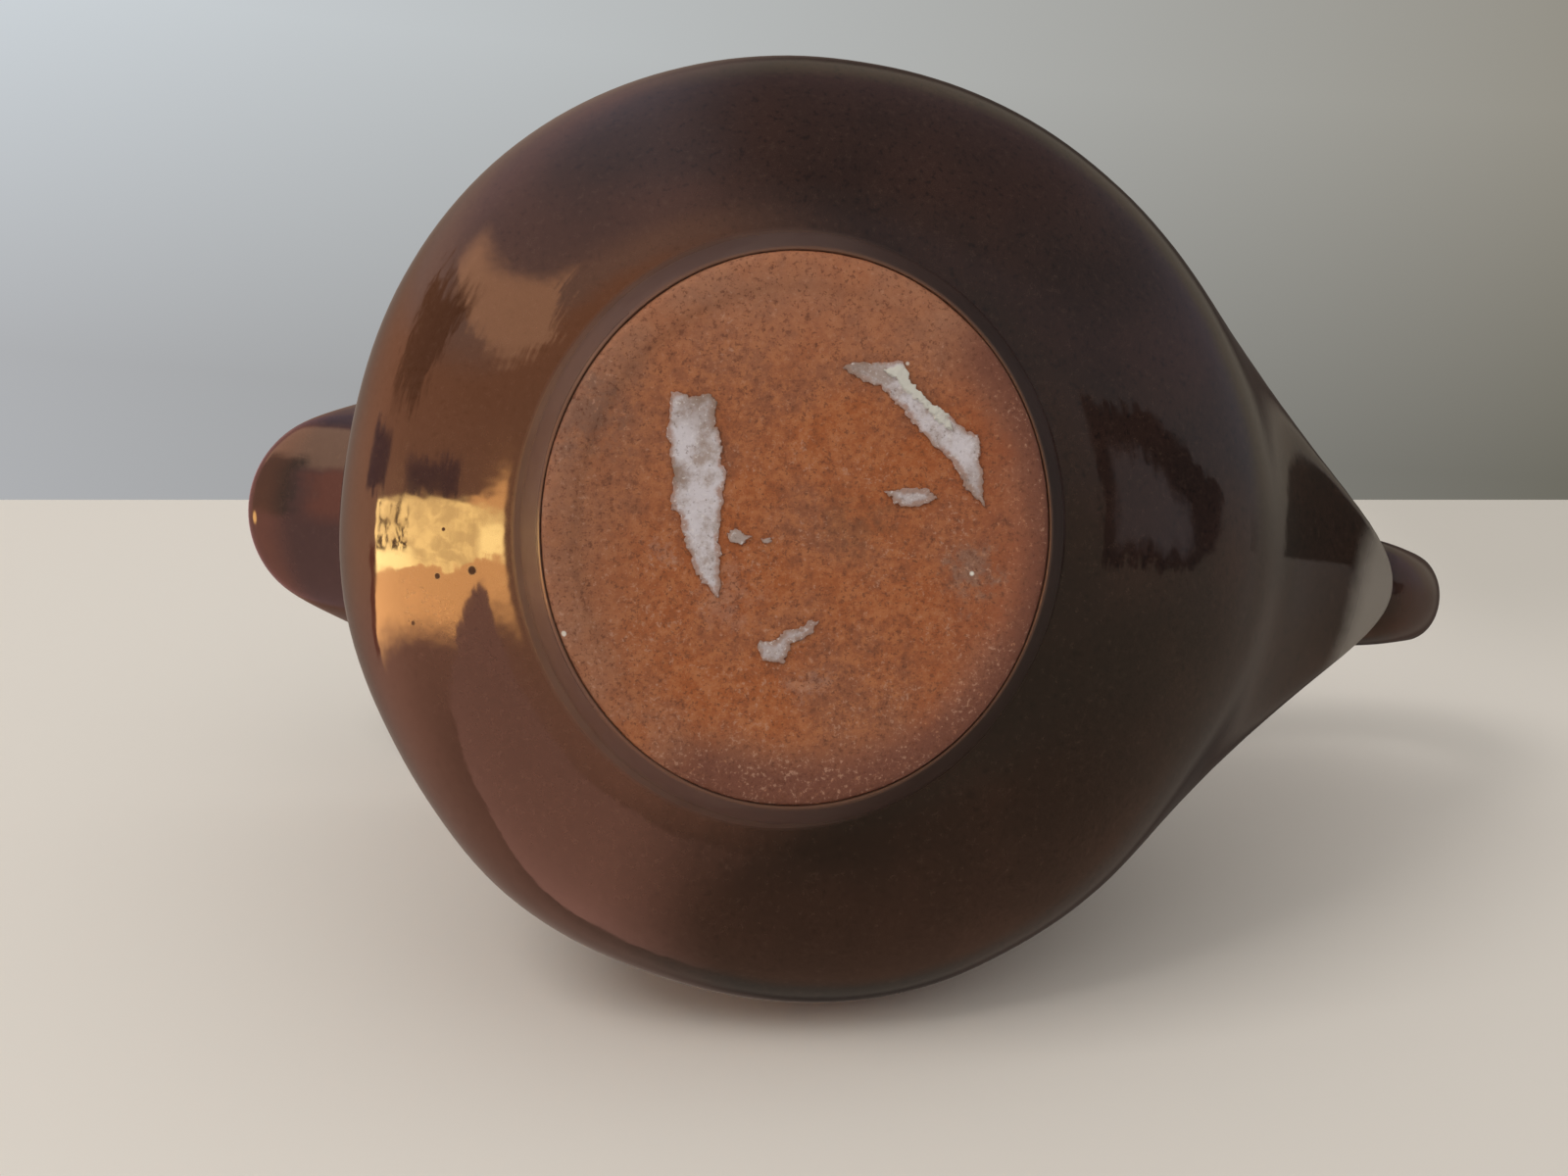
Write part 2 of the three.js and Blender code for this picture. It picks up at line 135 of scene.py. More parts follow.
# Paper remains on the foot: the curl along the torn corner, the torn edges and the worn places
CURL_START = Vector(mm(-6.9, 15.8))
CURL_END = Vector(mm(-13.8, 10.3))
CURL_WIDTH = 2.1 * MM
CURL_LIFT = 0.33 * MM
PAPER_GRAIN = 0.09 * MM
PAPER_RAGGEDNESS = 1.1 * MM
PAPER_TEARS = (
    (1.3 * MM, PAPER_RAGGEDNESS, "X"), (1.6 * MM, PAPER_RAGGEDNESS, "Y"),
    (0.45 * MM, 0.45 * PAPER_RAGGEDNESS, "X"), (0.5 * MM, 0.45 * PAPER_RAGGEDNESS, "Y"),
)
WORN_PLACES = (
    (mm(9.6, 10.6), 2.6 * MM, 0.9), (mm(11.8, 4), 1.3 * MM, 0.9), (mm(-4.1, 15.7), 2 * MM, 0.8),
    (mm(-16.3, 5.2), 2.6 * MM, 0.6), (mm(0, -10.9), 4.2 * MM, 0.5), (mm(-10.5, 3.2), 4 * MM, 0.4),
)

# Cage of the pot: it reaches further than the finished surface, because the subdivision draws it in
COLUMNS = 48
TURN_WEIGHT = 0.3
CAGE_TAIL_EXTRA = 1.5 * MM
CAGE_LIP_EXTRA = 0.5 * MM
CAGE_HANDLE_EXTRA = 2.0 * MM
CAGE_SWELL = 0.12 * MM
IN_PLACE = 0.002 * MM


def clamp01(value):
    return min(1.0, max(0.0, value))


def smooth_step(value):
    t = clamp01(value)
    return t * t * (3 - 2 * t)


def mix(start, end, share):
    return start + (end - start) * share


# Shape of the pot, level by level

def body_half_width(z):
    """Half width of the pot at a height: foot wall, bowl, shoulder, then neck and rim."""
    if z < GROOVE_Z:
        return FOOT_HALF_WIDTH + FOOT_WALL_FLARE * clamp01(z / GROOVE_Z)
    if z < BELLY_Z:
        rise = (z - GROOVE_Z) / (BELLY_Z - GROOVE_Z)
        swell = (1 - (1 - rise) ** BELLY_FULLNESS) ** (1 / BELLY_FULLNESS)
        return mix(FOOT_HALF_WIDTH + FOOT_WALL_FLARE, BELLY_HALF_WIDTH, swell)
    if z < NECK_Z:
        climb = ((z - BELLY_Z) / (NECK_Z - BELLY_Z)) ** SHOULDER_DROOP
        return mix(BELLY_HALF_WIDTH, NECK_HALF_WIDTH, smooth_step(climb))
    flare = clamp01((z - NECK_Z) / (RIM_TURN_Z - NECK_Z))
    return mix(NECK_HALF_WIDTH, RIM_HALF_WIDTH, flare * flare)


def belly_share(z):
    """How much of the belly's plan shape a height has: none at the foot and at the neck."""
    if z < BELLY_Z:
        return smooth_step(z / BELLY_Z)
    return 1 - smooth_step((z - BELLY_Z) / (NECK_Z - BELLY_Z))


def plan_slenderness(z):
    """Length of the plan over its width: oval foot, rounder belly, round neck."""
    end = FOOT_HALF_LENGTH / FOOT_HALF_WIDTH if z < BELLY_Z else 1
    return mix(end, BELLY_HALF_LENGTH / BELLY_HALF_WIDTH, belly_share(z))


TAIL_FULL = TAIL_REACH - BELLY_SHIFT_BACK * belly_share(TAIL_TIP_Z) - body_half_width(TAIL_TIP_Z)


def tail_flank(past_edge, run):
    """One flank of the tail: it swells up over its run to the end's edge, and goes on straight."""
    if past_edge < 0:
        return TAIL_FULL * clamp01((past_edge + run) / run) ** TAIL_SWELL
    return TAIL_FULL * (1 + past_edge * TAIL_SWELL / run)


def tail_outline(z):
    """Outline of the tail by height: it swells up to the blunt, leaning end and falls away above."""
    above_low_edge = z - TAIL_TIP_Z + TAIL_TIP_DEPTH / 2
    below_high_edge = TAIL_TIP_Z + TAIL_TIP_DEPTH / 2 - z
    end = TAIL_FULL - TAIL_END_LEAN * max(0.0, below_high_edge)
    stretches = (tail_flank(above_low_edge, TAIL_RISE), tail_flank(below_high_edge, TAIL_FALL), end)
    soft = sum(math.exp(-reach / TAIL_EDGE_SOFTNESS) for reach in stretches)
    return max(0.0, -TAIL_EDGE_SOFTNESS * math.log(soft))


TAIL_PEAK = max(tail_outline(TAIL_TIP_Z + step * 0.1 * MM) for step in range(-40, 41))


def tail_stand_out(z):
    reach = tail_outline(z) / TAIL_PEAK
    return TAIL_FULL * reach + CAGE_TAIL_EXTRA * clamp01(reach) ** 4


def lip_stand_out(z):
    climb = clamp01((z - LIP_ROOT_Z) / (RIM_TURN_Z - LIP_ROOT_Z))
    return (LIP_REACH + CAGE_LIP_EXTRA - RIM_HALF_WIDTH) * climb ** LIP_SWELL


def outer_level(z, outward=0.0):
    """The outside of the pot at a height, as the sizes of its plan."""
    return {
        "z": z,
        "half_width": body_half_width(z) + outward,
        "tail": tail_stand_out(z),
        "lip": lip_stand_out(z),
        "slenderness": plan_slenderness(z),
        "shift": BELLY_SHIFT_BACK * belly_share(z),
        "aside": BELLY_SHIFT_ASIDE * belly_share(z),
        "bulge": belly_share(z),
        "lift": LIP_LIFT * lip_stand_out(z) / lip_stand_out(RIM_TURN_Z),
        "ripple": 0.0,
    }


def hollow_level(z):
    """The hollow at a height: the outside brought in by the wall, and by more at both ends."""
    corner = FLOOR_CORNER_RISE * (1 - smooth_step((z - FLOOR_Z) / (BELLY_Z - FLOOR_Z)))
    wall = mix(WALL, RIM_WALL, clamp01((z - NECK_Z) / (RIM_TURN_Z - NECK_Z)))
    level = outer_level(z - corner, -wall)
    level["z"] = z
    level["tail"] *= 1 - (TAIL_END_WALL - wall) / TAIL_FULL
    level["lip"] *= 1 - (LIP_END_WALL - wall) / lip_stand_out(RIM_TURN_Z)
    return level


def foot_level(z, half_width, ripple=0.0):
    """A level of the glazed foot wall, given by its own half width."""
    level = outer_level(z)
    level["half_width"] = half_width
    level["ripple"] = ripple
    return level


def between_levels(first, second, share, raised):
    """A level part of the way from one to another, raised where the rim rounds over."""
    level = {key: mix(first[key], second[key], share) for key in first}
    level["z"] += raised
    return level


def belly_bulge(angle):
    """How far the belly stands out of round at an angle from the lip."""
    return sum(height * max(0.0, math.cos(angle - math.radians(turn))) ** narrow
               for turn, height, narrow in BELLY_BULGES)


def drawn_out_point(radius, stand_out, taper, angle):
    """A point of a circle drawn out along an axis at a taper, by its column's angle to the axis."""
    if angle >= taper or stand_out <= 0:
        return radius * math.cos(angle), radius * math.sin(angle)
    centre = stand_out / (1 - math.cos(taper))
    tip_radius = max(radius - centre * math.cos(taper), 0.5 * MM)
    flank = centre * math.sin(taper)
    arc = tip_radius * taper
    tip_share = TURN_WEIGHT + (1 - TURN_WEIGHT) * arc / (arc + flank)
    at = angle / taper
    turn = taper * min(1.0, at / tip_share)
    along = clamp01((at - tip_share) / (1 - tip_share))
    x = centre + tip_radius * math.cos(turn)
    y = tip_radius * math.sin(turn)
    return mix(x, radius * math.cos(taper), along), mix(y, radius * math.sin(taper), along)


def ring_points(level):
    """The points of one ring of the cage, column by column, from the lip round and back to it."""
    points = []
    for column in range(COLUMNS):
        angle = 2 * math.pi * column / COLUMNS
        side = 1 if angle <= math.pi else -1
        from_lip = angle if side > 0 else 2 * math.pi - angle
        from_tail = math.pi - from_lip
        radius = level["half_width"] + level["bulge"] * belly_bulge(angle) + CAGE_SWELL
        if from_lip < from_tail:
            x, y = drawn_out_point(radius, level["lip"], LIP_TAPER, from_lip)
        else:
            x, y = drawn_out_point(radius, level["tail"], TAIL_TAPER, from_tail)
            x = -x
        beak = clamp01((x - radius) / level["lip"]) if level["lip"] > 0 else 0.0
        wave = math.sin(5 * angle + 1.2) + 0.7 * math.sin(11 * angle + 0.4) + 0.5 * math.sin(17 * angle)
        height = level["z"] + level["lift"] * beak * beak + level["ripple"] * wave
        x = x * level["slenderness"] - level["shift"]
        points.append(Vector((x, side * y + level["aside"], height)))
    return points


# Modelling helpers, for the piece that is open in edit mode

def start_ring(name, columns, radius, fill_type):
    """Adds a circle as a new piece, and opens it in edit mode with all of it selected."""
    bpy.ops.object.select_all(action="DESELECT")
    bpy.ops.mesh.primitive_circle_add(vertices=columns, radius=radius, fill_type=fill_type)
    piece = bpy.context.object
    piece.name = name
    piece.data.name = name
    bpy.ops.object.mode_set(mode="EDIT")
    bpy.ops.mesh.select_mode(type="VERT")
    bpy.ops.mesh.select_all(action="SELECT")
    return piece


def edit_mesh(piece):
    cage = bmesh.from_edit_mesh(piece.data)
    cage.verts.ensure_lookup_table()
    cage.faces.ensure_lookup_table()
    cage.verts.index_update()
    return cage


def select_only(cage, elements):
    bpy.ops.mesh.select_all(action="DESELECT")
    for element in elements:
        element.select_set(True)
    cage.select_flush(True)


def move_to(vertices, points):
    """Moves each vertex to its point, one by one, and leaves alone those that are there already."""
    bpy.ops.mesh.select_all(action="DESELECT")
    for vertex, point in zip(vertices, points):
        way = point - vertex.co
        if way.length > IN_PLACE:
            vertex.select_set(True)
            bpy.ops.transform.translate(value=way)
            vertex.select_set(False)


def in_turn_order(vertices):
    """Vertices of a ring in their order round the Z axis, from +X."""
    turn = 2 * math.pi
    return sorted(vertices, key=lambda v: (math.atan2(v.co.y, v.co.x) + turn + 1e-4) % turn)


def fit_ring(piece, points):
    """Sizes and lifts the selected ring as a whole, then moves its vertices to their points."""
    cage = edit_mesh(piece)
    ring = in_turn_order([v for v in cage.verts if v.select])
    quarter = len(points) // 4
    width_now = ring[quarter].co.y - ring[-quarter].co.y
    growth = (points[quarter].y - points[-quarter].y) / width_now
    bpy.ops.transform.resize(value=(growth, growth, 1), center_override=(0, 0, 0))
    bpy.ops.transform.translate(value=(0, 0, points[quarter].z - ring[quarter].co.z))
    move_to(ring, points)
    select_only(cage, ring)
    return [v.index for v in ring]


def draw_out(upward=0.0):
    """Draws new faces out of the selected ring."""
    bpy.ops.mesh.extrude_edges_move(TRANSFORM_OT_translate={"value": (0, 0, upward)})


def extrude_ring(piece, points):
    """Draws the selected ring on to the next level and fits it there."""
    draw_out(MM)
    return fit_ring(piece, points)


def add_modifier(piece, kind, **settings):
    """Adds a modifier with its settings and applies it."""
    modifier = piece.modifiers.new(kind.lower(), kind)
    for key, value in settings.items():
        setattr(modifier, key, value)
    bpy.context.view_layer.objects.active = piece
    bpy.ops.object.modifier_apply(modifier=modifier.name)


def finish_piece(piece, levels=0):
    """Closes edit mode, applies a subdivision surface and shades the piece smooth."""
    bpy.ops.mesh.select_all(action="SELECT")
    bpy.ops.mesh.normals_make_consistent(inside=False)
    bpy.ops.object.mode_set(mode="OBJECT")
    bpy.ops.object.select_all(action="DESELECT")
    piece.select_set(True)
    bpy.context.view_layer.objects.active = piece
    if levels:
        add_modifier(piece, "SUBSURF", levels=levels, render_levels=levels)
    bpy.ops.object.shade_smooth()


def unevenness(piece, size, strength, direction="NORMAL", mid_level=0.5, detail=1):
    """Pushes a surface to and fro by a cloudy pattern, as real relief."""
    clouds = bpy.data.textures.new(piece.name + direction, "CLOUDS")
    clouds.noise_scale = size
    clouds.noise_depth = detail
    add_modifier(piece, "DISPLACE", texture=clouds, texture_coords="LOCAL", direction=direction,
                 strength=strength, mid_level=mid_level)


# Glazed pot: outside, rim and hollow as one skin, with the handle grown out of the neck

def foot_wall_levels():
    """Levels of the glaze that hangs over the side of the bare foot, up to the groove."""
    middle = mix(CLAY_AT_EDGE, GLAZE_AT_GROOVE, 0.5) + 0.25 * MM
    edge = ((0.1, 0, 0.1), (-0.1, 0.4, 0.1), (0.05, 1.05, 0.09), (0.6, 1.6, 0.04))
    groove = ((-1.1, -0.2 * MM), (-0.5, 0), (-0.2, -GROOVE_DEPTH), (0.1, -0.6 * GROOVE_DEPTH),
              (0.25, 1.2 * MM))
    return [
        *(foot_level(GLAZE_EDGE_Z + rise * MM, CLAY_AT_EDGE + GLAZE_THICKNESS * thick, ripple=ripple * MM)
          for rise, thick, ripple in edge),
        foot_level(mix(GLAZE_EDGE_Z, GROOVE_Z, 0.5), middle),
        *(foot_level(GROOVE_Z + rise * MM, GLAZE_AT_GROOVE + outward) for rise, outward in groove),
    ]


def body_levels():
    """Levels from the groove up to where the rim rounds over, closer where the tail bends most."""
    bowl = [mix(GROOVE_Z, BELLY_Z, share ** 1.25) for share in (0.1, 0.22, 0.38, 0.56, 0.78, 1)]
    under_tail = [mix(BELLY_Z, 41 * MM, share) for share in (0.26, 0.52, 0.77, 1)]
    tail_edge = [z * MM for z in (43.2, 44.8, 46.4, *TAIL_PATCH_HEIGHTS)]
    shoulder = [z * MM for z in (55.5, 59, 63)] + [NECK_Z]
    neck = [z * MM for z in NECK_PATCH_HEIGHTS] + [RIM_TURN_Z - 1.8 * MM, RIM_TURN_Z]
    return [outer_level(z) for z in (*bowl, *under_tail, *tail_edge, *shoulder, *neck)]


def rim_levels(outside, inside):
    """Levels that carry the rim over in a half round."""
    turns = [math.pi * step / 4 for step in (1, 2, 3)]
    return [between_levels(outside, inside, (1 - math.cos(t)) / 2, 1.2 * RIM_ROUND * math.sin(t))
            for t in turns]


def inside_levels():
    """Levels of the hollow from the rim down to the floor."""
    neck = [RIM_TURN_Z, RIM_TURN_Z - 2.5 * MM, mix(NECK_Z, RIM_TURN_Z, 0.45), NECK_Z]
    shoulder = [z * MM for z in (63, 58, 53, 49.5, 46, 42.5, 37, 30)] + [BELLY_Z]
    bowl = [mix(FLOOR_Z, BELLY_Z, share) for share in (0.65, 0.38, 0.16, 0.04)]
    return [hollow_level(z) for z in (*neck, *shoulder, *bowl)]


def build_glazed_pot():
    """The glazed body with its lip and handle, as one skin."""
    cap = ring_points(foot_level(FOOT_BARE_HEIGHT + 0.06 * MM, FOOT_HALF_WIDTH + 0.1 * MM))
    pot = start_ring("glazed_pot", COLUMNS, FOOT_HALF_WIDTH, "NGON")
    fit_ring(pot, cap)
    for level in foot_wall_levels():
        extrude_ring(pot, ring_points(level))
    outside = body_levels()
    rings = {level["z"]: extrude_ring(pot, ring_points(level)) for level in outside}
    inside = inside_levels()
    for level in [*rim_levels(outside[-1], inside[0]), *inside]:
        extrude_ring(pot, ring_points(level))
    floor = hollow_level(FLOOR_Z)
    extrude_ring(pot, ring_points(dict(floor, half_width=floor["half_width"] - 2 * MM)))
    bpy.ops.mesh.edge_face_add()
    bpy.ops.mesh.inset(thickness=2 * MM)
    grow_handle(pot, rings)
    finish_piece(pot, levels=2)
    unevenness(pot, 12 * MM, 0.1 * MM)
    unevenness(pot, 3.5 * MM, 0.02 * MM)
    return pot


# Handle: a rope of clay from the neck over the finger gap, pressed on to the top of the tail

def handle_route():
    """Points of the handle's middle line between its two joints."""
    outer = -HANDLE_REACH - CAGE_HANDLE_EXTRA + HANDLE_HALF_THICKNESS
    crown = HANDLE_TOP_Z - HANDLE_HALF_THICKNESS
    neck = -body_half_width(HANDLE_JOINT_Z)
    return [Vector((x, 0, z)) for x, z in (
        (neck - 3.0 * MM, HANDLE_JOINT_Z),
        (mix(outer, neck, 0.66), mix(crown, HANDLE_JOINT_Z, 0.2)),
        (mix(outer, neck, 0.36), crown),
        (mix(outer, neck, 0.1), mix(HANDLE_OUTERMOST_Z, crown, 0.66)),
        (outer, HANDLE_OUTERMOST_Z),
        (mix(-TAIL_REACH, outer, 0.25), mix(TAIL_TIP_Z, HANDLE_OUTERMOST_Z, 0.48)),
        (-TAIL_REACH + 5.8 * MM, TAIL_TIP_Z + 6.6 * MM),
    )]


def along_curve(points, steps):
    """Evenly spaced points on a smooth curve through the given ones, each with its direction."""
    ends = [2 * points[0] - points[1], *points, 2 * points[-1] - points[-2]]
    dense = []
    for a, b, c, d in zip(ends, ends[1:], ends[2:], ends[3:]):
        for step in range(24):
            t = step / 24
            bend = (2 * a - 5 * b + 4 * c - d) * t * t + (3 * b - a - 3 * c + d) * t ** 3
            dense.append(0.5 * (2 * b + (c - a) * t + bend))
    dense.append(points[-1])
    travel = [0.0]
    for start, end in zip(dense, dense[1:]):
        travel.append(travel[-1] + (end - start).length)
    found = []
    for step in range(steps + 1):
        goal = travel[-1] * step / steps
        at = max(0, min(len(dense) - 2, sum(1 for length in travel if length < goal) - 1))
        share = clamp01((goal - travel[at]) / (travel[at + 1] - travel[at]))
        direction = (dense[at + 1] - dense[at]).normalized()
        found.append((dense[at].lerp(dense[at + 1], share), direction))
    return found


# Corners round a patch of 6 by 2 faces, as steps across and up, in the order of the handle's oval
PATCH_CORNERS = (
    (3, 0), (3, 1), (2, 1), (1, 1), (0, 1), (-1, 1), (-2, 1), (-3, 1),
    (-3, 0), (-3, -1), (-2, -1), (-1, -1), (0, -1), (1, -1), (2, -1), (3, -1),
)


def handle_section(point, along, spread):
    """Corners of one oval section of the handle."""
    outward = Vector((along.z, 0, -along.x))
    corners = []
    for step in range(len(PATCH_CORNERS)):
        turn = 2 * math.pi * step / len(PATCH_CORNERS)
        aside = Vector((0, 1, 0)) * HANDLE_HALF_WIDTH * spread * math.cos(turn)
        above = outward * HANDLE_HALF_THICKNESS * mix(1, spread, 0.6) * math.sin(turn)
        corners.append(point + aside + above)
    return corners


def patch_members(rings, upward):
    """Vertex numbers of a patch's corners, in the order of the handle's oval, and of its inside."""
    middle = COLUMNS // 2
    row_of = {0: rings[1], upward: rings[2], -upward: rings[0]}
    corners = [row_of[up][middle - across] for across, up in PATCH_CORNERS]
    return corners, [row_of[0][middle - across] for across in (-2, -1, 0, 1, 2)]


def open_patches(pot, patches):
    """Opens the pot's skin at the patches, and returns where the corners of each hole are."""
    cage = edit_mesh(pot)
    holes = [[cage.verts[i].co.copy() for i in corners] for corners, _ in patches]
    groups = [{cage.verts[i] for i in (*corners, *inside)} for corners, inside in patches]
    bpy.ops.mesh.select_mode(type="FACE")
    select_only(cage, [f for f in cage.faces if any(all(v in g for v in f.verts) for g in groups)])
    bpy.ops.mesh.delete(type="FACE")
    bpy.ops.mesh.select_mode(type="VERT")
    return holes


def vertices_at(vertices, points):
    """Those of the vertices that lie at the given points, in the points' order."""
    return [min(vertices, key=lambda v: (v.co - point).length_squared) for point in points]


def grow_handle(pot, rings):
    """Draws the handle out of a hole in the neck, oval by oval, and welds it into the tail's top."""
    neck = patch_members([rings[z * MM] for z in NECK_PATCH_HEIGHTS], upward=1)
    tail = patch_members([rings[z * MM] for z in TAIL_PATCH_HEIGHTS], upward=-1)
    neck_hole, tail_hole = open_patches(pot, (neck, tail))
    stops = along_curve(handle_route(), HANDLE_STEPS)
    sections = []
    for number, (point, along) in enumerate(stops):
        spread = mix(HANDLE_END_SPREAD, 1, smooth_step(min(number, HANDLE_STEPS - number) / 3))
        sections.append(handle_section(point, along, spread))
    start = neck_hole
    for section in [*sections, tail_hole]:
        cage = edit_mesh(pot)
        select_only(cage, vertices_at(cage.verts, start))
        draw_out()
        cage = edit_mesh(pot)
        drawn = [v for v in cage.verts if v.select]
        move_to(vertices_at(drawn, start), section)
        start = section
    bpy.ops.mesh.select_all(action="SELECT")
    bpy.ops.mesh.remove_doubles(threshold=0.01 * MM)


# Bare foot: an oval slab of red clay with a bearing ring round a shallow recess

FOOT_COLUMNS = 64

# Its rings in millimetres: outward from the recess's edge or the foot's side, and up from the table
RECESS_STEPS = ((-0.9, 0.5), (-0.2, 0.12), (0.4, 0.03))
FOOT_RIM_STEPS = ((-0.8, 0), (-0.3, 0.08), (0.12, 0.35), (0.26, 0.8), (0.26, 1.3))


def fit_foot_ring(piece, half_width, z):
    """Sizes the selected ring of the foot and sets its height."""
    cage = edit_mesh(piece)
    ring = [v for v in cage.verts if v.select]
    growth = half_width / max(v.co.y for v in ring)
    bpy.ops.transform.resize(value=(growth, growth, 1), center_override=(0, 0, 0))
    bpy.ops.transform.translate(value=(0, 0, z - ring[0].co.z))


def build_bare_foot():
    """The unglazed foot, open clay all over its underside."""
    recess = FOOT_HALF_WIDTH - FOOT_RING_WIDTH
    foot = start_ring("bare_foot", FOOT_COLUMNS, recess - 1.6 * MM, "NOTHING")
    bpy.ops.transform.resize(value=(FOOT_HALF_LENGTH / FOOT_HALF_WIDTH, 1, 1), center_override=(0, 0, 0))
    bpy.ops.transform.translate(value=(0, 0, FOOT_RECESS_DEPTH))
    in_recess = [(recess + outward * MM, z * MM) for outward, z in RECESS_STEPS]
    round_rim = [(FOOT_HALF_WIDTH + outward * MM, z * MM) for outward, z in FOOT_RIM_STEPS]
    behind = [(FOOT_HALF_WIDTH, FOOT_BARE_HEIGHT), (FOOT_HALF_WIDTH - 3 * MM, FOOT_BARE_HEIGHT)]
    for half_width, z in (*in_recess, *round_rim, *behind):
        draw_out()
        fit_foot_ring(foot, half_width, z)
    bpy.ops.mesh.fill_grid(span=FOOT_COLUMNS // 4)
    cage = edit_mesh(foot)
    bpy.ops.mesh.select_mode(type="EDGE")
    select_only(cage, [e for e in cage.edges if e.is_boundary])
    bpy.ops.mesh.fill_grid(span=FOOT_COLUMNS // 4)
    finish_piece(foot, levels=2)
    unevenness(foot, 9 * MM, 0.12 * MM)
    unevenness(foot, 1.6 * MM, 0.07 * MM, detail=2)
    return foot


# Paper remains: thin torn scraps of a label, fibrous at their edges

def copy_of_sheet(name):
    """The plain sheet of a scrap as a piece of its own, with its doubles merged."""
    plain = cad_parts[name]
    bpy.ops.object.select_all(action="DESELECT")
    scrap = plain.copy()
    scrap.data = plain.data.copy()
    scrap.name = "paper_" + name
    for key in list(scrap.keys()):
        del scrap[key]
    bpy.context.scene.collection.objects.link(scrap)
    scrap.parent = None
    bpy.context.view_layer.objects.active = scrap
    scrap.select_set(True)
    bpy.ops.object.mode_set(mode="EDIT")
    bpy.ops.mesh.select_all(action="SELECT")
    bpy.ops.mesh.remove_doubles(threshold=0.001 * MM)
    bpy.ops.object.mode_set(mode="OBJECT")
    return scrap


def curl_height(point):
    """How far the torn corner's lifted edge stands up at a point, as a share of its lift."""
    along = CURL_END - CURL_START
    length = along.length
    travelled = (point - CURL_START).dot(along) / length / length
    if not 0 < travelled < 1:
        return 0.0
    across = (point - CURL_START).dot(Vector((along.y, -along.x)) / length)
    width = CURL_WIDTH * math.sin(math.pi * travelled) ** 0.5
    rising = smooth_step((across + 0.15 * MM) / (0.15 * MM))
    return rising * clamp01(1 - max(across, 0) / width)


def wear_at(point):
    return min(1.0, sum(amount * clamp01(1.6 - 1.3 * (point - Vector(middle)).length / radius)
                        for middle, radius, amount in WORN_PLACES))


def set_shares(piece, name, shares):
    """Keeps one number per vertex on the mesh, for the material to read."""
    attribute = piece.data.attributes.new(name, "FLOAT", "POINT")
    attribute.data.foreach_set("value", shares)


def build_paper(name):
    """One scrap of paper, from its plain sheet: even faces, torn edges and a puckered surface."""
    scrap = copy_of_sheet(name)
    scrap.data.remesh_voxel_size = PAPER_GRAIN
    bpy.ops.object.voxel_remesh()
    sides = [v.co.copy() for v in scrap.data.vertices if abs(v.normal.z) < 0.6]
    outline = kdtree.KDTree(len(sides))
    for number, place in enumerate(sides):
        outline.insert(place, number)
    outline.balance()
    places = [v.co.copy() for v in scrap.data.vertices]
    set_shares(scrap, "from_edge", [min(1.0, outline.find(place)[2] / MM) for place in places])
    set_shares(scrap, "browned", [wear_at(place.xy) for place in places])
    curls = [curl_height(place.xy) if name == "label_torn_corner" else 0.0 for place in places]
    set_shares(scrap, "curled", [clamp01(3 * height) for height in curls])
    for size, tear, direction in PAPER_TEARS:
        unevenness(scrap, size, tear, direction, detail=3)
    unevenness(scrap, 2.2 * MM, 0.18 * MM, "Z", mid_level=0.7, detail=2)
    if max(curls) > 0:
        lifted = scrap.vertex_groups.new(name="lifted")
        for number, height in enumerate(curls):
            if height > 0:
                lifted.add([number], height, "REPLACE")
        add_modifier(scrap, "DISPLACE", direction="Z", strength=-CURL_LIFT, mid_level=0.0,
                     vertex_group="lifted")
    bpy.ops.object.shade_smooth()
    return scrap


# Node helpers: what the nodes work out is written as plain sums

class Value:
    """A number, place or colour that the nodes work out."""

    def __init__(self, socket):
        self.socket = socket
        self.tree = socket.id_data

    def __add__(self, other):
        return maths("ADD", self, other)

    def __sub__(self, other):
        return maths("SUBTRACT", self, other)

    def __rsub__(self, other):
        return maths("SUBTRACT", other, self)

    def __mul__(self, other):
        return maths("MULTIPLY", self, other)

    def __abs__(self):
        return maths("ABSOLUTE", self)


def feed(node, inputs):
    """Links values to a node's inputs, and sets the plain ones."""
    for key, value in inputs.items():
        socket = node.inputs[key]
        if isinstance(value, Value):
            node.id_data.links.new(value.socket, socket)
        elif socket.type == "RGBA":
            socket.default_value = (*value, 1.0)
        else:
            socket.default_value = value


def add_node(tree, kind, inputs=None, **settings):
    node = tree.nodes.new(kind)
    for key, value in settings.items():
        setattr(node, key, value)
    feed(node, inputs or {})
    return node


def read(tree, kind, output=0, inputs=None, **settings):
    """One output of a new node, as a value."""
    return Value(add_node(tree, kind, inputs, **settings).outputs[output])


def maths(operation, first, second=0.0):
    tree = first.tree if isinstance(first, Value) else second.tree
    return read(tree, "ShaderNodeMath", 0, {0: first, 1: second}, operation=operation)


def at_least_zero(value):
    return maths("MAXIMUM", value, 0.0)


def object_place(tree):
    return read(tree, "ShaderNodeTexCoord", "Object")


def sides(place):
    """The X, Y and Z of a place."""
    return [Value(side) for side in add_node(place.tree, "ShaderNodeSeparateXYZ", {0: place}).outputs]


def vector_maths(operation, place, other, output="Vector"):
    return read(place.tree, "ShaderNodeVectorMath", output, {0: place, 1: other}, operation=operation)


def distance(place, point):
    return vector_maths("DISTANCE", place, point, "Value")


def noise(place, scale, detail=3.0, roughness=0.55):
    return read(place.tree, "ShaderNodeTexNoise", "Fac", {
        "Vector": place, "Scale": scale, "Detail": detail, "Roughness": roughness,
    })


def fade(value, start, end, low=0.0, high=1.0, smooth=True):
    """The value mapped from start..end to low..high, and held there beyond."""
    return read(value.tree, "ShaderNodeMapRange", "Result", {
        "Value": value, "From Min": start, "From Max": end, "To Min": low, "To Max": high,
    }, interpolation_type="SMOOTHSTEP" if smooth else "LINEAR")


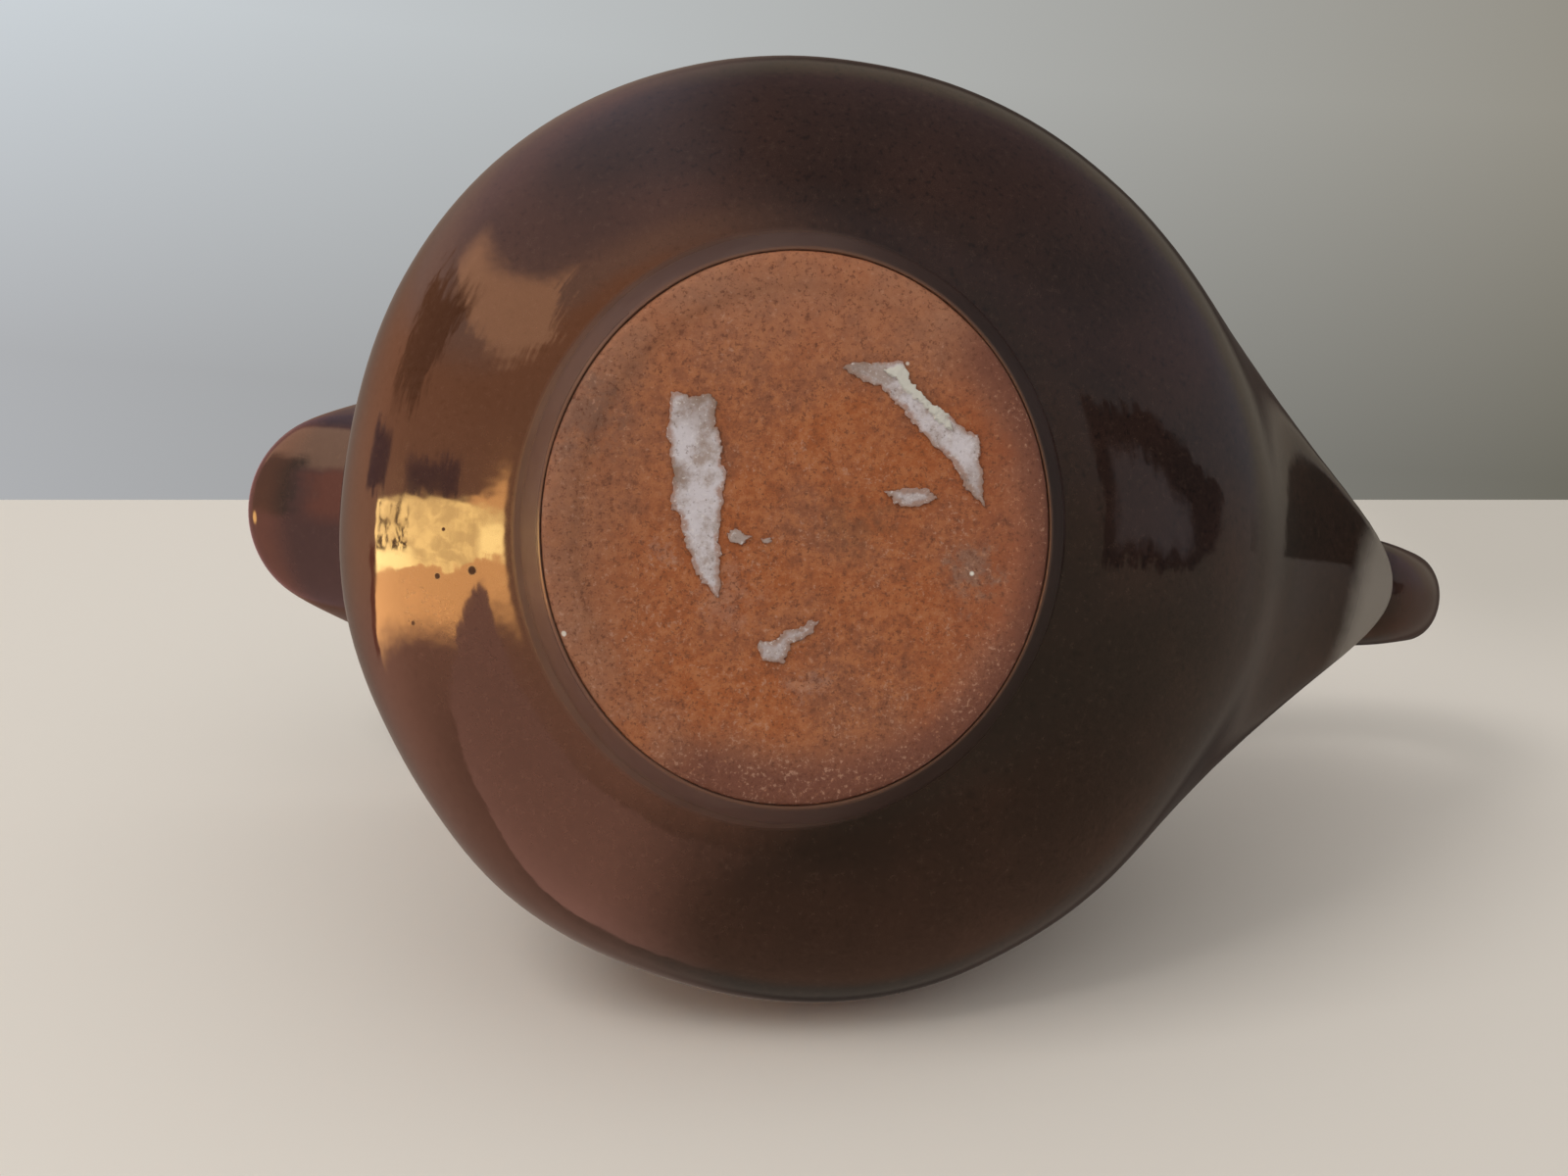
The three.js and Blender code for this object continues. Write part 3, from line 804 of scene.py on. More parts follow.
def between(value, low, high, soft):
    """One where the value lies between two limits, with soft edges outside them."""
    return fade(value, low - soft, low) * fade(value, high + soft, high)


def blend(share, first, second):
    """A colour part of the way from one to another."""
    return read(share.tree, "ShaderNodeMix", 2, {0: share, 6: first, 7: second}, data_type="RGBA")


def coat(colour, *layers):
    """A colour with others laid over it in turn, each by its share."""
    for share, tint in layers:
        colour = blend(share, colour, tint)
    return colour


def bands(value, stops):
    """A colour that goes from stop to stop along a value."""
    steps = [(fade(value, start, end), tint) for (start, _), (end, tint) in zip(stops, stops[1:])]
    return coat(stops[0][1], *steps)


def patch(place, middle, radius, softness=0.2, raggedness=0.0, ragged=None):
    """One inside a round patch and nothing outside it, with its edge broken up by a noise."""
    away = distance(place, middle)
    if ragged:
        away = away + (ragged - 0.5) * raggedness
    return fade(away, radius * (1 + softness), radius * (1 - softness))


def bump(height, strength, depth, normal=None):
    inputs = {"Height": height, "Strength": strength, "Distance": depth}
    if normal:
        inputs["Normal"] = normal
    return read(height.tree, "ShaderNodeBump", "Normal", inputs)


def new_material(name):
    """A material with a Principled shader, and the tree and shader to work on."""
    material = bpy.data.materials.new(name)
    material.use_nodes = True
    return material, material.node_tree, material.node_tree.nodes["Principled BSDF"]


# Brown glaze: its colours, from where it pools to where it is thin, with painted shade and reflection on
# the foot wall and a painted reflection on the tail end
GLAZE_POOLED = (0.015, 0.0085, 0.0072)
GLAZE_EVEN = (0.032, 0.015, 0.0112)
GLAZE_PALE_SPECKS = (0.06, 0.036, 0.026)
GLAZE_DARK_SPECKS = (0.006, 0.004, 0.004)
GLAZE_ON_RIM = (0.12, 0.038, 0.018)
GLAZE_ON_HANDLE = (0.052, 0.023, 0.016)
# The foot glaze by the tail is painted shade, and by the lip a painted reflection
FOOT_GLAZE_SHADED_BY_TAIL = (0.034, 0.022, 0.019)
FOOT_GLAZE_REFLECTING_BY_LIP = (0.085, 0.055, 0.047)
FOOT_GLAZE_SMEARED = (0.05, 0.03, 0.026)
GLAZE_THIN_EDGE = (0.13, 0.065, 0.04)
# The pale grey on the tail end is a painted reflection
GLAZE_PAINTED_REFLECTION = (0.27, 0.236, 0.2)
GLAZE_IN_PITS = (0.02, 0.008, 0.005)
GLAZE_SHEEN = (1.0, 0.86, 0.68)

# Where it changes: on the rim, the handle, the foot and the tail end's painted reflection, and the pits
# with their radii
RIM_THINNING = mm(83.5, 86.8)
HANDLE_START = mm(-76, -81)
FOOT_GLAZE_TOP = (GROOVE_Z + 0.9 * MM, GROOVE_Z + 0.5 * MM)
FOOT_GLAZE_REACH = mm(29.2, 28.4)
REFLECTION_BAND_END = mm(-65.6, -70)
REFLECTION_BAND_BELOW = mm(50.3, 48.9)
GLAZE_PITS = (
    (mm(33.2, -7.3, 8.7), 0.3 * MM), (mm(30, -6.5, 6.9), 0.4 * MM),
    (mm(33, -2.8, 8.2), 0.18 * MM), (mm(35.1, -12, 11.1), 0.22 * MM),
)


def make_brown_glaze():
    """Dark, glossy lead-type glaze: pooled nearly black, redder and thinner where it breaks."""
    material, tree, shader = new_material("brown_glaze")
    place = object_place(tree)
    x, y, height = sides(place)
    rounded = vector_maths("MULTIPLY", place, (FOOT_HALF_WIDTH / FOOT_HALF_LENGTH, 1, 0))
    outward = distance(rounded, (0, 0, 0))
    pooling = noise(place, 38.0, detail=4.0, roughness=0.6)
    specks = noise(place, 1500.0, roughness=0.7)
    smear = noise(place, 120.0)
    on_rim = fade(height, *RIM_THINNING) * fade(pooling, 0.3, 0.6, 0.5, 1)
    on_handle = fade(x, *HANDLE_START)
    on_foot = fade(height, *FOOT_GLAZE_TOP) * fade(outward, *FOOT_GLAZE_REACH)
    # Painted light on the foot wall: darker towards the tail as painted shade, paler towards the lip as a
    # painted reflection
    foot_tone_with_painted_light = blend(fade(x, *mm(-14, 2)), FOOT_GLAZE_SHADED_BY_TAIL, FOOT_GLAZE_REFLECTING_BY_LIP)
    foot_tone_with_painted_light = blend(fade(smear, 0.45, 0.6, 0.0, 0.4), foot_tone_with_painted_light, FOOT_GLAZE_SMEARED)
    thin_edge = on_foot * fade(height, *mm(1, 0.6))
    shiny_edge = on_foot * fade(height, *mm(1.1, 0.8)) * fade(x, *mm(14, 20))
    # Pale band on the lower tail end: a painted reflection of the table, also made rougher
    painted_reflection_band = fade(x + y * 0.25 + smear * (3 * MM), *REFLECTION_BAND_END) * fade(height, *REFLECTION_BAND_BELOW)
    pits = [patch(place, middle, radius, softness=0.35) for middle, radius in GLAZE_PITS]
    colour = coat(
        blend(fade(pooling, 0.35, 0.68), GLAZE_POOLED, GLAZE_EVEN),
        (fade(specks, 0.54, 0.72, 0.0, 0.35), GLAZE_PALE_SPECKS),
        (fade(specks, 0.44, 0.34, 0.0, 0.7), GLAZE_DARK_SPECKS),
        (on_rim, GLAZE_ON_RIM),
        (on_handle, GLAZE_ON_HANDLE),
        (on_foot, foot_tone_with_painted_light),
        (thin_edge * 0.7, GLAZE_THIN_EDGE),
        (painted_reflection_band * 0.85, GLAZE_PAINTED_REFLECTION),
        *((pit, GLAZE_IN_PITS) for pit in pits),
    )
    roughness = fade(smear, 0.4, 0.75, 0.04, 0.1)
    rougher = ((on_foot, 0.42), (shiny_edge, -0.3), (painted_reflection_band, 0.35), *((pit, 0.8) for pit in pits))
    for share, amount in rougher:
        roughness = roughness + share * amount
    feed(shader, {
        "Base Color": colour, "Roughness": roughness, "IOR": 1.65, "Specular Tint": GLAZE_SHEEN,
        "Specular IOR Level": fade(on_foot, 0.0, 1.0, 0.5, 0.28) - on_handle * 0.22,
        "Normal": bump(noise(place, 280.0, detail=2.0), 0.25, 0.1 * MM),
    })
    return material


# Red clay: its colours, and those of the marks on it
CLAY_BROWN = (0.27, 0.1, 0.05)
CLAY_ORANGE = (0.335, 0.098, 0.032)
CLAY_PALE_MOTTLE = (0.43, 0.162, 0.068)
CLAY_DARK_MOTTLE = (0.2, 0.068, 0.03)
CLAY_BY_LIP = (0.27, 0.125, 0.072)
CLAY_BY_TAIL = (0.22, 0.07, 0.042)
CLAY_HIGH = (0.35, 0.17, 0.105)
CLAY_RIM = (0.32, 0.16, 0.1)
CLAY_DARKER_RIM = (0.17, 0.066, 0.042)
CLAY_GREYED = (0.17, 0.1, 0.075)
CLAY_DARK_PEPPER = (0.15, 0.055, 0.03)
CLAY_PALE_PEPPER = (0.46, 0.22, 0.125)
CLAY_DARK_GRAIN = (0.12, 0.045, 0.026)
CLAY_PALE_GRAIN = (0.46, 0.26, 0.175)
OLD_STAIN = (0.12, 0.06, 0.035)
GREY_SMUDGE = (0.22, 0.155, 0.12)
DRIED_GLUE = (0.38, 0.27, 0.22)
PALE_CHIPS = (0.66, 0.58, 0.5)
WHITE_CHIP = (0.75, 0.7, 0.62)

# Where the marks are. The clay's noises are moved aside, because they run together at the origin
NOISE_SHIFT = (0.313, 0.171, 0.237)
FOOT_MIDDLE = (0, 0, FOOT_RECESS_DEPTH)
STAIN_PLACE = mm(-5, 0.3, 0.6)
SMUDGE_PLACE = mm(-17, -2.9, 0.6)
GREYED_PLACE = mm(21.5, 9.2, 0.3)
GLUE_PLACES = (
    (mm(6.2, -7, 0.6), 2.4 * MM), (mm(-2.2, -14.6, 0.6), 1.2 * MM), (mm(12.3, -3.6, 0.6), 0.9 * MM),
)


def make_red_clay():
    """Unglazed terracotta: grainy, with pale grit, an old stain and a rim darker on the tail side and low
    side.
    """
    material, tree, shader = new_material("red_clay")
    place = object_place(tree)
    aside, upward, _ = sides(place)
    from_middle = distance(place, FOOT_MIDDLE)
    moved = vector_maths("ADD", place, NOISE_SHIFT)
    cloudy = noise(moved, 95.0, detail=5.0, roughness=0.65)
    mottled = noise(moved, 760.0, detail=5.0, roughness=0.78)
    grain = noise(moved, 2300.0, detail=2.0, roughness=0.7)
    pepper = noise(moved, 1350.0, detail=4.0, roughness=0.8)
    gathered = noise(moved, 160.0)
    ragged = noise(moved, 520.0, detail=4.0, roughness=0.8)

    def mark(middle, radius, softness, raggedness):
        return patch(place, middle, radius, softness, raggedness, ragged)

    pale_rim = fade(from_middle, *mm(18.5, 24)) * fade(gathered, 0.35, 0.6, 0.05, 0.45)
    # The rim is made darker towards the tail and towards the bottom of the picture
    tail_and_low_side = fade(aside * -0.85 - upward * 0.5, *mm(-1, 6))
    outer_rim = fade(from_middle + mottled * (4 * MM), *mm(21.5, 26))
    pale_start = fade(gathered - upward * 5.0, 0.38, 0.66, 0.64, 0.54)
    chips = add_node(tree, "ShaderNodeTexVoronoi", {"Vector": place, "Scale": 330.0}).outputs
    chosen = read(tree, "ShaderNodeSeparateColor", 0, {0: Value(chips["Color"])})
    colour = coat(
        blend(fade(cloudy, 0.36, 0.62), CLAY_BROWN, CLAY_ORANGE),
        (fade(mottled, 0.42, 0.64, 0.0, 0.75), CLAY_PALE_MOTTLE),
        (fade(mottled, 0.46, 0.32, 0.0, 0.45), CLAY_DARK_MOTTLE),
        (fade(aside, *mm(10, 20)) * 0.5, CLAY_BY_LIP),
        (fade(aside, *mm(-9, -21)) * 0.4, CLAY_BY_TAIL),
        (fade(upward, *mm(11, 21), 0.0, 0.4), CLAY_HIGH),
        (pale_rim, CLAY_RIM),
        (tail_and_low_side * outer_rim, CLAY_DARKER_RIM),
        (mark(STAIN_PLACE, 2.4 * MM, 0.8, 16 * MM) * 0.4, OLD_STAIN),
        (mark(SMUDGE_PLACE, 2.0 * MM, 0.7, 12 * MM) * 0.5, GREY_SMUDGE),
        *((mark(middle, radius, 0.8, 12 * MM) * 0.22, DRIED_GLUE) for middle, radius in GLUE_PLACES),
        (mark(GREYED_PLACE, 3.4 * MM, 0.8, 14 * MM) * 0.6, CLAY_GREYED),
        (fade(pepper, 0.46, 0.34, 0.0, 0.7), CLAY_DARK_PEPPER),
        (fade(pepper, 0.56, 0.72, 0.0, 0.6), CLAY_PALE_PEPPER),
        (fade(grain, 0.44, 0.3, 0.0, 0.65), CLAY_DARK_GRAIN),
        (fade(grain - pale_start, 0.0, 0.18, 0.0, 0.6), CLAY_PALE_GRAIN),
        (fade(Value(chips["Distance"]), 0.11, 0.06) * fade(chosen, 0.9, 0.94), PALE_CHIPS),
        (patch(place, SMUDGE_PLACE, 0.2 * MM, 0.5), WHITE_CHIP),
    )
    feed(shader, {
        "Base Color": colour, "Roughness": 0.92, "Specular IOR Level": 0.25,
        "Normal": bump(mottled, 0.5, 0.2 * MM, bump(grain, 0.6, 0.12 * MM)),
    })
    return material


# Label paper: its colours
PAPER_CLEAN = (0.61, 0.55, 0.565)
PAPER_GREYED = (0.38, 0.295, 0.26)
PAPER_THIN = (0.33, 0.17, 0.11)
PAPER_BROWNED = (0.27, 0.18, 0.135)
PAPER_PALE_FIBRES = (0.68, 0.62, 0.6)
PAPER_DARK_FIBRES = (0.24, 0.18, 0.155)
PAPER_CURL = (0.6, 0.57, 0.5)


def make_label_paper():
    """Old label paper, felted and browned, with clay showing through where it is worn thin."""
    material, tree, shader = new_material("label_paper")
    place = object_place(tree)
    worn = noise(place, 240.0, detail=5.0, roughness=0.7)
    fibres = noise(place, 2300.0, roughness=0.7)
    inward, curl, brown = (read(tree, "ShaderNodeAttribute", "Fac", attribute_name=name)
                           for name in ("from_edge", "curled", "browned"))
    colour = coat(
        blend(fade(worn, 0.42, 0.62), PAPER_CLEAN, PAPER_GREYED),
        (fade(inward + (worn - 0.5) * 2.2, 0.55, 0.05, 0.0, 0.8), PAPER_THIN),
        (brown * fade(worn, 0.3, 0.6, 0.5, 1.0), PAPER_BROWNED),
        (fade(fibres, 0.56, 0.7, 0.0, 0.7), PAPER_PALE_FIBRES),
        (fade(fibres, 0.44, 0.3, 0.0, 0.7), PAPER_DARK_FIBRES),
        (curl * fade(worn, 0.34, 0.48, 0.35, 1.0), PAPER_CURL),
    )
    feed(shader, {
        "Base Color": colour, "Roughness": 0.95, "Specular IOR Level": 0.15,
        "Normal": bump(fibres, 0.5, 0.1 * MM),
    })
    return material


def set_material(piece, material):
    piece.data.materials.clear()
    piece.data.materials.append(material)


# Camera: a quarter of a metre in front of the foot, where the picture was taken

CAMERA_DISTANCE = 0.25
CAMERA_YAW = math.radians(8)
CAMERA_PITCH = math.radians(-1.8)
CAMERA_ROLL = math.radians(4.7)
CAMERA_SEES_FROM = 0.01
CAMERA_SEES_TO = 10
LENS = 61.0
SENSOR = 36.0
PICTURE_WIDTH = 1600
PICTURE_HEIGHT = 1200
FOCAL_PIXELS = LENS / SENSOR * PICTURE_WIDTH
FOOT_CENTRE_IN_PICTURE = (815.3, 538.6)
TABLE_FAR_EDGE_IN_PICTURE = 510


def camera_axes():
    """The camera's place, and its right, up and forward directions."""
    forward = Vector((-math.sin(CAMERA_YAW) * math.cos(CAMERA_PITCH), -math.sin(CAMERA_PITCH),
                      math.cos(CAMERA_YAW) * math.cos(CAMERA_PITCH)))
    level_right = forward.cross(Vector((0, 1, 0))).normalized()
    level_up = level_right.cross(forward)
    right = level_right * math.cos(CAMERA_ROLL) + level_up * math.sin(CAMERA_ROLL)
    up = level_up * math.cos(CAMERA_ROLL) - level_right * math.sin(CAMERA_ROLL)
    foot_right = (FOOT_CENTRE_IN_PICTURE[0] - PICTURE_WIDTH / 2) / FOCAL_PIXELS
    foot_up = (PICTURE_HEIGHT / 2 - FOOT_CENTRE_IN_PICTURE[1]) / FOCAL_PIXELS
    aim = (forward - right * foot_right - up * foot_up).normalized()
    right = (right - aim * right.dot(aim)).normalized()
    return -forward * CAMERA_DISTANCE, right, right.cross(aim), aim


def build_camera():
    place, right, up, aim = camera_axes()
    bpy.ops.object.camera_add()
    camera = bpy.context.object
    camera.data.lens = LENS
    camera.data.sensor_width = SENSOR
    camera.data.clip_start = CAMERA_SEES_FROM
    camera.data.clip_end = CAMERA_SEES_TO
    rows = [(right[i], up[i], -aim[i], place[i]) for i in range(3)]
    camera.matrix_world = Matrix((*rows, (0, 0, 0, 1)))
    bpy.context.scene.camera = camera


# Stage: a pale table, a floor for when the creamer is seen standing, and two cards that glow only in the
# glaze as painted reflections

TABLE_TILT = math.atan2(20.0, 62.0)
STAGE_REACH = 1.5
TABLE_WHITE = (0.8, 0.75, 0.69)
TABLE_FAR_RIGHT_SHADE = (0.66, 0.62, 0.565)
FLOOR_WHITE = (0.7, 0.68, 0.65)
# The card by the lip glows as a painted reflection, with a spark as a painted highlight
LIP_CARD_X = 70 * MM
LIP_CARD_Y = mm(-90, 90)
LIP_CARD_Z = mm(60, 140)
LIP_CARD_PLUM = (0.95, 0.55, 0.58)
LIP_CARD_GREY = (0.6, 0.45, 0.6)
LIP_CARD_SPARK = (9.0, 5.4, 2.2)
# The dark card by the tail is a painted reflection that only the glaze mirrors
TAIL_CARD_X = -85 * MM
TAIL_CARD_Y = mm(3, 32)
TAIL_CARD_Z = mm(30, 50)
TAIL_CARD_DARK = (0.06, 0.055, 0.045)

# How far off a card is mirrored at most, and how softly that fades in
LIP_CARD_GLOSS = mm(50, 38)
TAIL_CARD_GLOSS = mm(38.5, 35.5)

# Patches on the card by the lip, painted into its reflection: tan, dark and red, each across and upward
# with its softness
LIP_CARD_PATCHES = (
    (mm(13, 25, 4), mm(76, 88, 4), (2.1, 1.35, 1.1)),
    (mm(0, 12, 3), mm(79.8, 87, 1.6), (0.45, 0.38, 0.38)),
    (mm(1, 8, 6), mm(71, 76, 3), (1.6, 0.68, 0.58)),
)


def stage_material(name, colour, gloss=None, cover=None):
    """Matt and pale, seen from its front by the camera only, or glowing only in gloss close to it as a
    painted reflection.
    """
    material = bpy.data.materials.new(name)
    material.use_nodes = True
    tree = material.node_tree
    tree.nodes.clear()
    path = add_node(tree, "ShaderNodeLightPath").outputs
    seen_by = Value(path["Is Camera Ray"])
    if gloss:
        seen_by = Value(path["Is Glossy Ray"]) * fade(Value(path["Ray Length"]), *gloss)
    if cover:
        seen_by = seen_by * cover(tree)
    front = 1 - read(tree, "ShaderNodeNewGeometry", "Backfacing")
    kind = "ShaderNodeEmission" if gloss else "ShaderNodeBsdfDiffuse"
    surface = read(tree, kind, 0, {"Color": colour(tree) if callable(colour) else colour})
    clear = read(tree, "ShaderNodeBsdfTransparent")
    mixed = read(tree, "ShaderNodeMixShader", 0, {0: seen_by * front, 1: clear, 2: surface})
    add_node(tree, "ShaderNodeOutputMaterial", {"Surface": mixed})
    return material


def table_tone(tree):
    """Warm white, with painted shade that makes it a little greyer at the far right."""
    x, _, z = sides(object_place(tree))
    return blend(fade(x, -0.09, -0.13) * fade(z, 0.08, 0.15), TABLE_WHITE, TABLE_FAR_RIGHT_SHADE)


def lip_reflection_tones(tree):
    """The painted reflection that the lip mirrors: plum, with a tan, a red and a dark part and a spark as
    a painted highlight.
    """
    place = object_place(tree)
    ragged = noise(place, 160.0, detail=4.0, roughness=0.7) - 0.5
    _, y, z = sides(place)
    y = y + ragged * (5 * MM)
    z = z + ragged * (3 * MM)
    tone = blend(fade(y, *mm(26, 33)), LIP_CARD_PLUM, LIP_CARD_GREY)
    for across, upward, colour in LIP_CARD_PATCHES:
        tone = blend(between(y, *across) * between(z, *upward), tone, colour)
    spark = patch(place, (LIP_CARD_X, -3 * MM, 86 * MM), 1.3 * MM, 0.4)
    return blend(spark, tone, LIP_CARD_SPARK)


def tail_cover(tree):
    """Where the dark card by the tail, a painted reflection, is closed: above a straight edge, and open
    towards the rim.
    """
    _, y, z = sides(object_place(tree))
    return fade(y, *mm(3.5, 4.3)) * fade(y, *mm(30, 20)) * fade(z, *mm(50, 47))


def add_card(name, corners, facing, material):
    """A flat sheet through four corners, given row by row, whose front faces a direction."""
    bpy.ops.object.select_all(action="DESELECT")
    bpy.ops.mesh.primitive_plane_add(size=1)
    card = bpy.context.object
    card.name = name
    bpy.ops.object.mode_set(mode="EDIT")
    cage = edit_mesh(card)
    move_to(sorted(cage.verts, key=lambda v: (v.co.y, v.co.x)), corners)
    bpy.ops.object.mode_set(mode="OBJECT")
    if card.data.polygons[0].normal.dot(facing) < 0:
        card.data.flip_normals()
    set_material(card, material)
    return card


def add_upright_card(name, x, across, upward, facing, material):
    """A card that stands across the X axis."""
    corners = [Vector((x, y, z)) for z in upward for y in across]
    return add_card(name, corners, Vector((facing, 0, 0)), material)


def build_stage(pot):
    """The table, level in the picture and touching the pot's side, the floor and the two cards."""
    place, right, up, aim = camera_axes()
    leaning = Vector((0, math.sin(TABLE_TILT), math.cos(TABLE_TILT)))
    along = (leaning - right * leaning.dot(right)).normalized()
    facing = right.cross(along)
    facing = facing if facing.y > 0 else -facing
    touch = min((v.co for v in pot.data.vertices), key=facing.dot).copy()
    rise = (PICTURE_HEIGHT / 2 - TABLE_FAR_EDGE_IN_PICTURE) / FOCAL_PIXELS
    start = touch - place
    reach = (rise * start.dot(aim) - start.dot(up)) / (along.dot(up) - rise * along.dot(aim))
    both_ways = (-STAGE_REACH, STAGE_REACH)
    corners = [touch + along * far + right * side for far in (-STAGE_REACH, reach) for side in both_ways]
    table = add_card("table", corners, facing, stage_material("table_white", table_tone))
    ground = [Vector((x, y, 0)) for y in both_ways for x in both_ways]
    floor = add_card("floor", ground, Vector((0, 0, 1)), stage_material("floor_white", FLOOR_WHITE))
    lip_painted_reflection = stage_material("lip_painted_reflection", lip_reflection_tones, LIP_CARD_GLOSS)
    shade = add_upright_card("lip_reflection_card", LIP_CARD_X, LIP_CARD_Y, LIP_CARD_Z, -1, lip_painted_reflection)
    tail_painted_reflection = stage_material("tail_painted_reflection", TAIL_CARD_DARK, TAIL_CARD_GLOSS, tail_cover)
    tail_reflection_card = add_upright_card("tail_reflection_card", TAIL_CARD_X, TAIL_CARD_Y, TAIL_CARD_Z, 1, tail_painted_reflection)


# Light: a soft window and a soft ceiling in an even pale room

# Each lamp: its name, its place, what it faces, its size, its colour and its radiance
LAMPS = (
    ("window", (0.5, 0.42, -0.35), (0, 0, 0.04), 0.35, (1.0, 0.97, 0.93), 5.0),
    ("ceiling", (0.1, 0.2, 0.9), (0, 0, 0.05), 0.7, (1.0, 0.98, 0.95), 1.2),
)


def add_lamp(name, place, target, size, colour, radiance):
    """An area lamp of a given radiance that faces a point and lights, but isn't mirrored."""
    lamp = bpy.data.lights.new(name, "AREA")
    lamp.shape = "SQUARE"
    lamp.size = size
    lamp.energy = radiance * math.pi * size * size
    lamp.color = colour
    holder = bpy.data.objects.new(name, lamp)
    bpy.context.scene.collection.objects.link(holder)
    turned = (Vector(place) - Vector(target)).to_track_quat("Z", "Y").to_matrix().to_4x4()
    holder.matrix_world = Matrix.Translation(place) @ turned
    holder.visible_camera = False
    holder.visible_glossy = False


# The room that the glaze mirrors, by direction: y is up the picture, z away from the camera

# Its two sides from below to above, the wall behind them, and the golds of the strip of light
DIM_STOPS = (
    (-0.9, (0.33, 0.195, 0.14)), (-0.5, (0.23, 0.16, 0.12)), (-0.2, (0.22, 0.195, 0.165)),
    (0.0, (0.25, 0.22, 0.2)), (0.3, (0.24, 0.245, 0.29)), (0.45, (0.25, 0.233, 0.29)),
    (0.65, (0.19, 0.175, 0.206)), (0.8, (0.19, 0.148, 0.168)),
)
WARM_STOPS = (
    (-0.95, (0.42, 0.24, 0.18)), (-0.7, (0.88, 0.43, 0.32)), (-0.35, (1.5, 0.72, 0.53)),
    (-0.05, (1.65, 0.8, 0.5)), (0.3, (1.6, 0.7, 0.4)), (0.45, (1.4, 0.8, 0.65)),
    (0.7, (0.85, 0.55, 0.58)), (0.93, (0.45, 0.42, 0.54)),
)
BACK_WALL = ((0.19, 0.165, 0.14), (0.28, 0.25, 0.205))
DEEP_GOLD = (9.2, 6.1, 2.6)
LIGHT_GOLD = (13.5, 9.3, 3.9)
PALEST_GOLD = (16.0, 11.8, 5.2)


def uneven(direction, *scale):
    """A ragged pattern about zero over the directions of the room."""
    stretched = read(direction.tree, "ShaderNodeMapping", 0, {0: direction, 3: scale})
    return noise(stretched, 1.0, detail=5.0, roughness=0.7) - 0.5


def dim_side(x, y, z, jagged):
    """The dim side beyond the handle, with a dark frame's shadow and a grey part in it."""
    rough_y = y + jagged * 0.12
    rough_z = z + jagged * 0.2
    behind_handle = fade(x, -0.2, -0.3)
    corner = at_least_zero(z + 0.12)
    shadow = (between(rough_z, -0.68, 0.03, 0.02) * fade(rough_y - z * 0.1, 0.38, 0.365)
              * fade(rough_y - corner * 0.5, 0.0, 0.015) * fade(rough_y + z * 0.5, 0.195, 0.175))
    grey = (between(rough_z, -0.55, -0.18, 0.07) * between(rough_y, 0.07, 0.22, 0.04)
            * fade(rough_y + z * 0.6, 0.06, 0.0))
    back = fade(z, 0.3, 0.55)
    farthest = fade(z, 0.66, 0.8)
    return coat(
        bands(y, DIM_STOPS),
        (back, blend(fade(y, 0.0, 0.25), *BACK_WALL)),
        (farthest, (0.07, 0.058, 0.05)),
        (shadow * behind_handle, (0.05, 0.045, 0.05)),
        (grey * behind_handle, (0.32, 0.3, 0.36)),
    )


def warm_side(direction, x, y, z, jagged):
    """The warm side beyond the lip: a pane above, a golden strip of light and an orange glow below."""
    crumbly = uneven(direction, 9, 40, 9)
    spiked = uneven(direction, 45, 8, 45)
    flecked = uneven(direction, 16, 28, 16)
    veined = uneven(direction, 5, 24, 5)
    rough_y = y + jagged * 0.12
    rough_z = z + jagged * 0.2
    smeared_z = z + jagged * 0.45
    pane = (fade(rough_y - z * 0.25, 0.5, 0.54) * fade(y - z * 0.12, 0.67, 0.6)
            * fade(z + y * 0.5, 0.55, 0.33) * fade(rough_z - y * 0.75, -1.135, -1.085))
    smear = (fade(smeared_z, 0.36, 0.28) * fade(smeared_z + y * 0.9, 0.16, 0.25)
             * between(y + jagged * 0.3, 0.27, 0.48, 0.07))
    bruise = between(y + spiked * 0.17, 0.05, 0.12, 0.02) * between(rough_z, -0.53, -0.1, 0.08)
    seam = between(z, 0.2, 0.42, 0.04) * between(rough_y, 0.06, 0.16, 0.03)
    sideways = z - at_least_zero(-0.17 - y) * 1.1
    red_edge = between(sideways, 0.27, 0.33, 0.015) * between(y, -0.33, -0.1, 0.03)
    on_strip = fade(z, -0.94, -0.925) * fade(sideways, 0.27, 0.245) * fade(x, 0.2, 0.3)
    beyond = at_least_zero(-0.5 - z)
    level = y - beyond * 0.23 + crumbly * 0.06
    glow = on_strip * fade(level - beyond * 0.22, -0.39, -0.28) * fade(level, 0.0, -0.03)
    at_ends = (fade(z, -0.25, -0.1) + fade(z, -0.74, -0.84)) * fade(level, -0.08, -0.13)
    gold = blend(at_ends, blend(fade(veined, -0.1, 0.12), DEEP_GOLD, LIGHT_GOLD), PALEST_GOLD)
    bright = on_strip * fade(level, -0.16, -0.152) * fade(y - z * 0.01, 0.036, 0.028)
    flecks = between(z, -0.12, 0.24, 0.04) * between(y, -0.1, 0.02, 0.015) * fade(flecked, 0.0, 0.05)
    down = -0.13 - y
    off_notch = abs(z + 0.8 - down * 0.8) - down * 0.8 + jagged * 0.15
    notch = fade(off_notch, 0.035, 0.01) * fade(down, 0.0, 0.02)
    back = fade(z, 0.25, 1.05)
    return coat(
        bands(y, WARM_STOPS),
        (pane, (3.0, 1.6, 1.05)), (smear, (0.8, 0.33, 0.17)), (bruise, (0.5, 0.26, 0.28)),
        (seam, (0.38, 0.2, 0.22)), (red_edge, (0.85, 0.24, 0.15)), (glow, (8.7, 4.4, 1.8)),
        (bright, gold), (flecks, (0.9, 0.5, 0.24)), (notch, (1.6, 0.8, 0.66)), (back, (0.28, 0.225, 0.19)),
    )


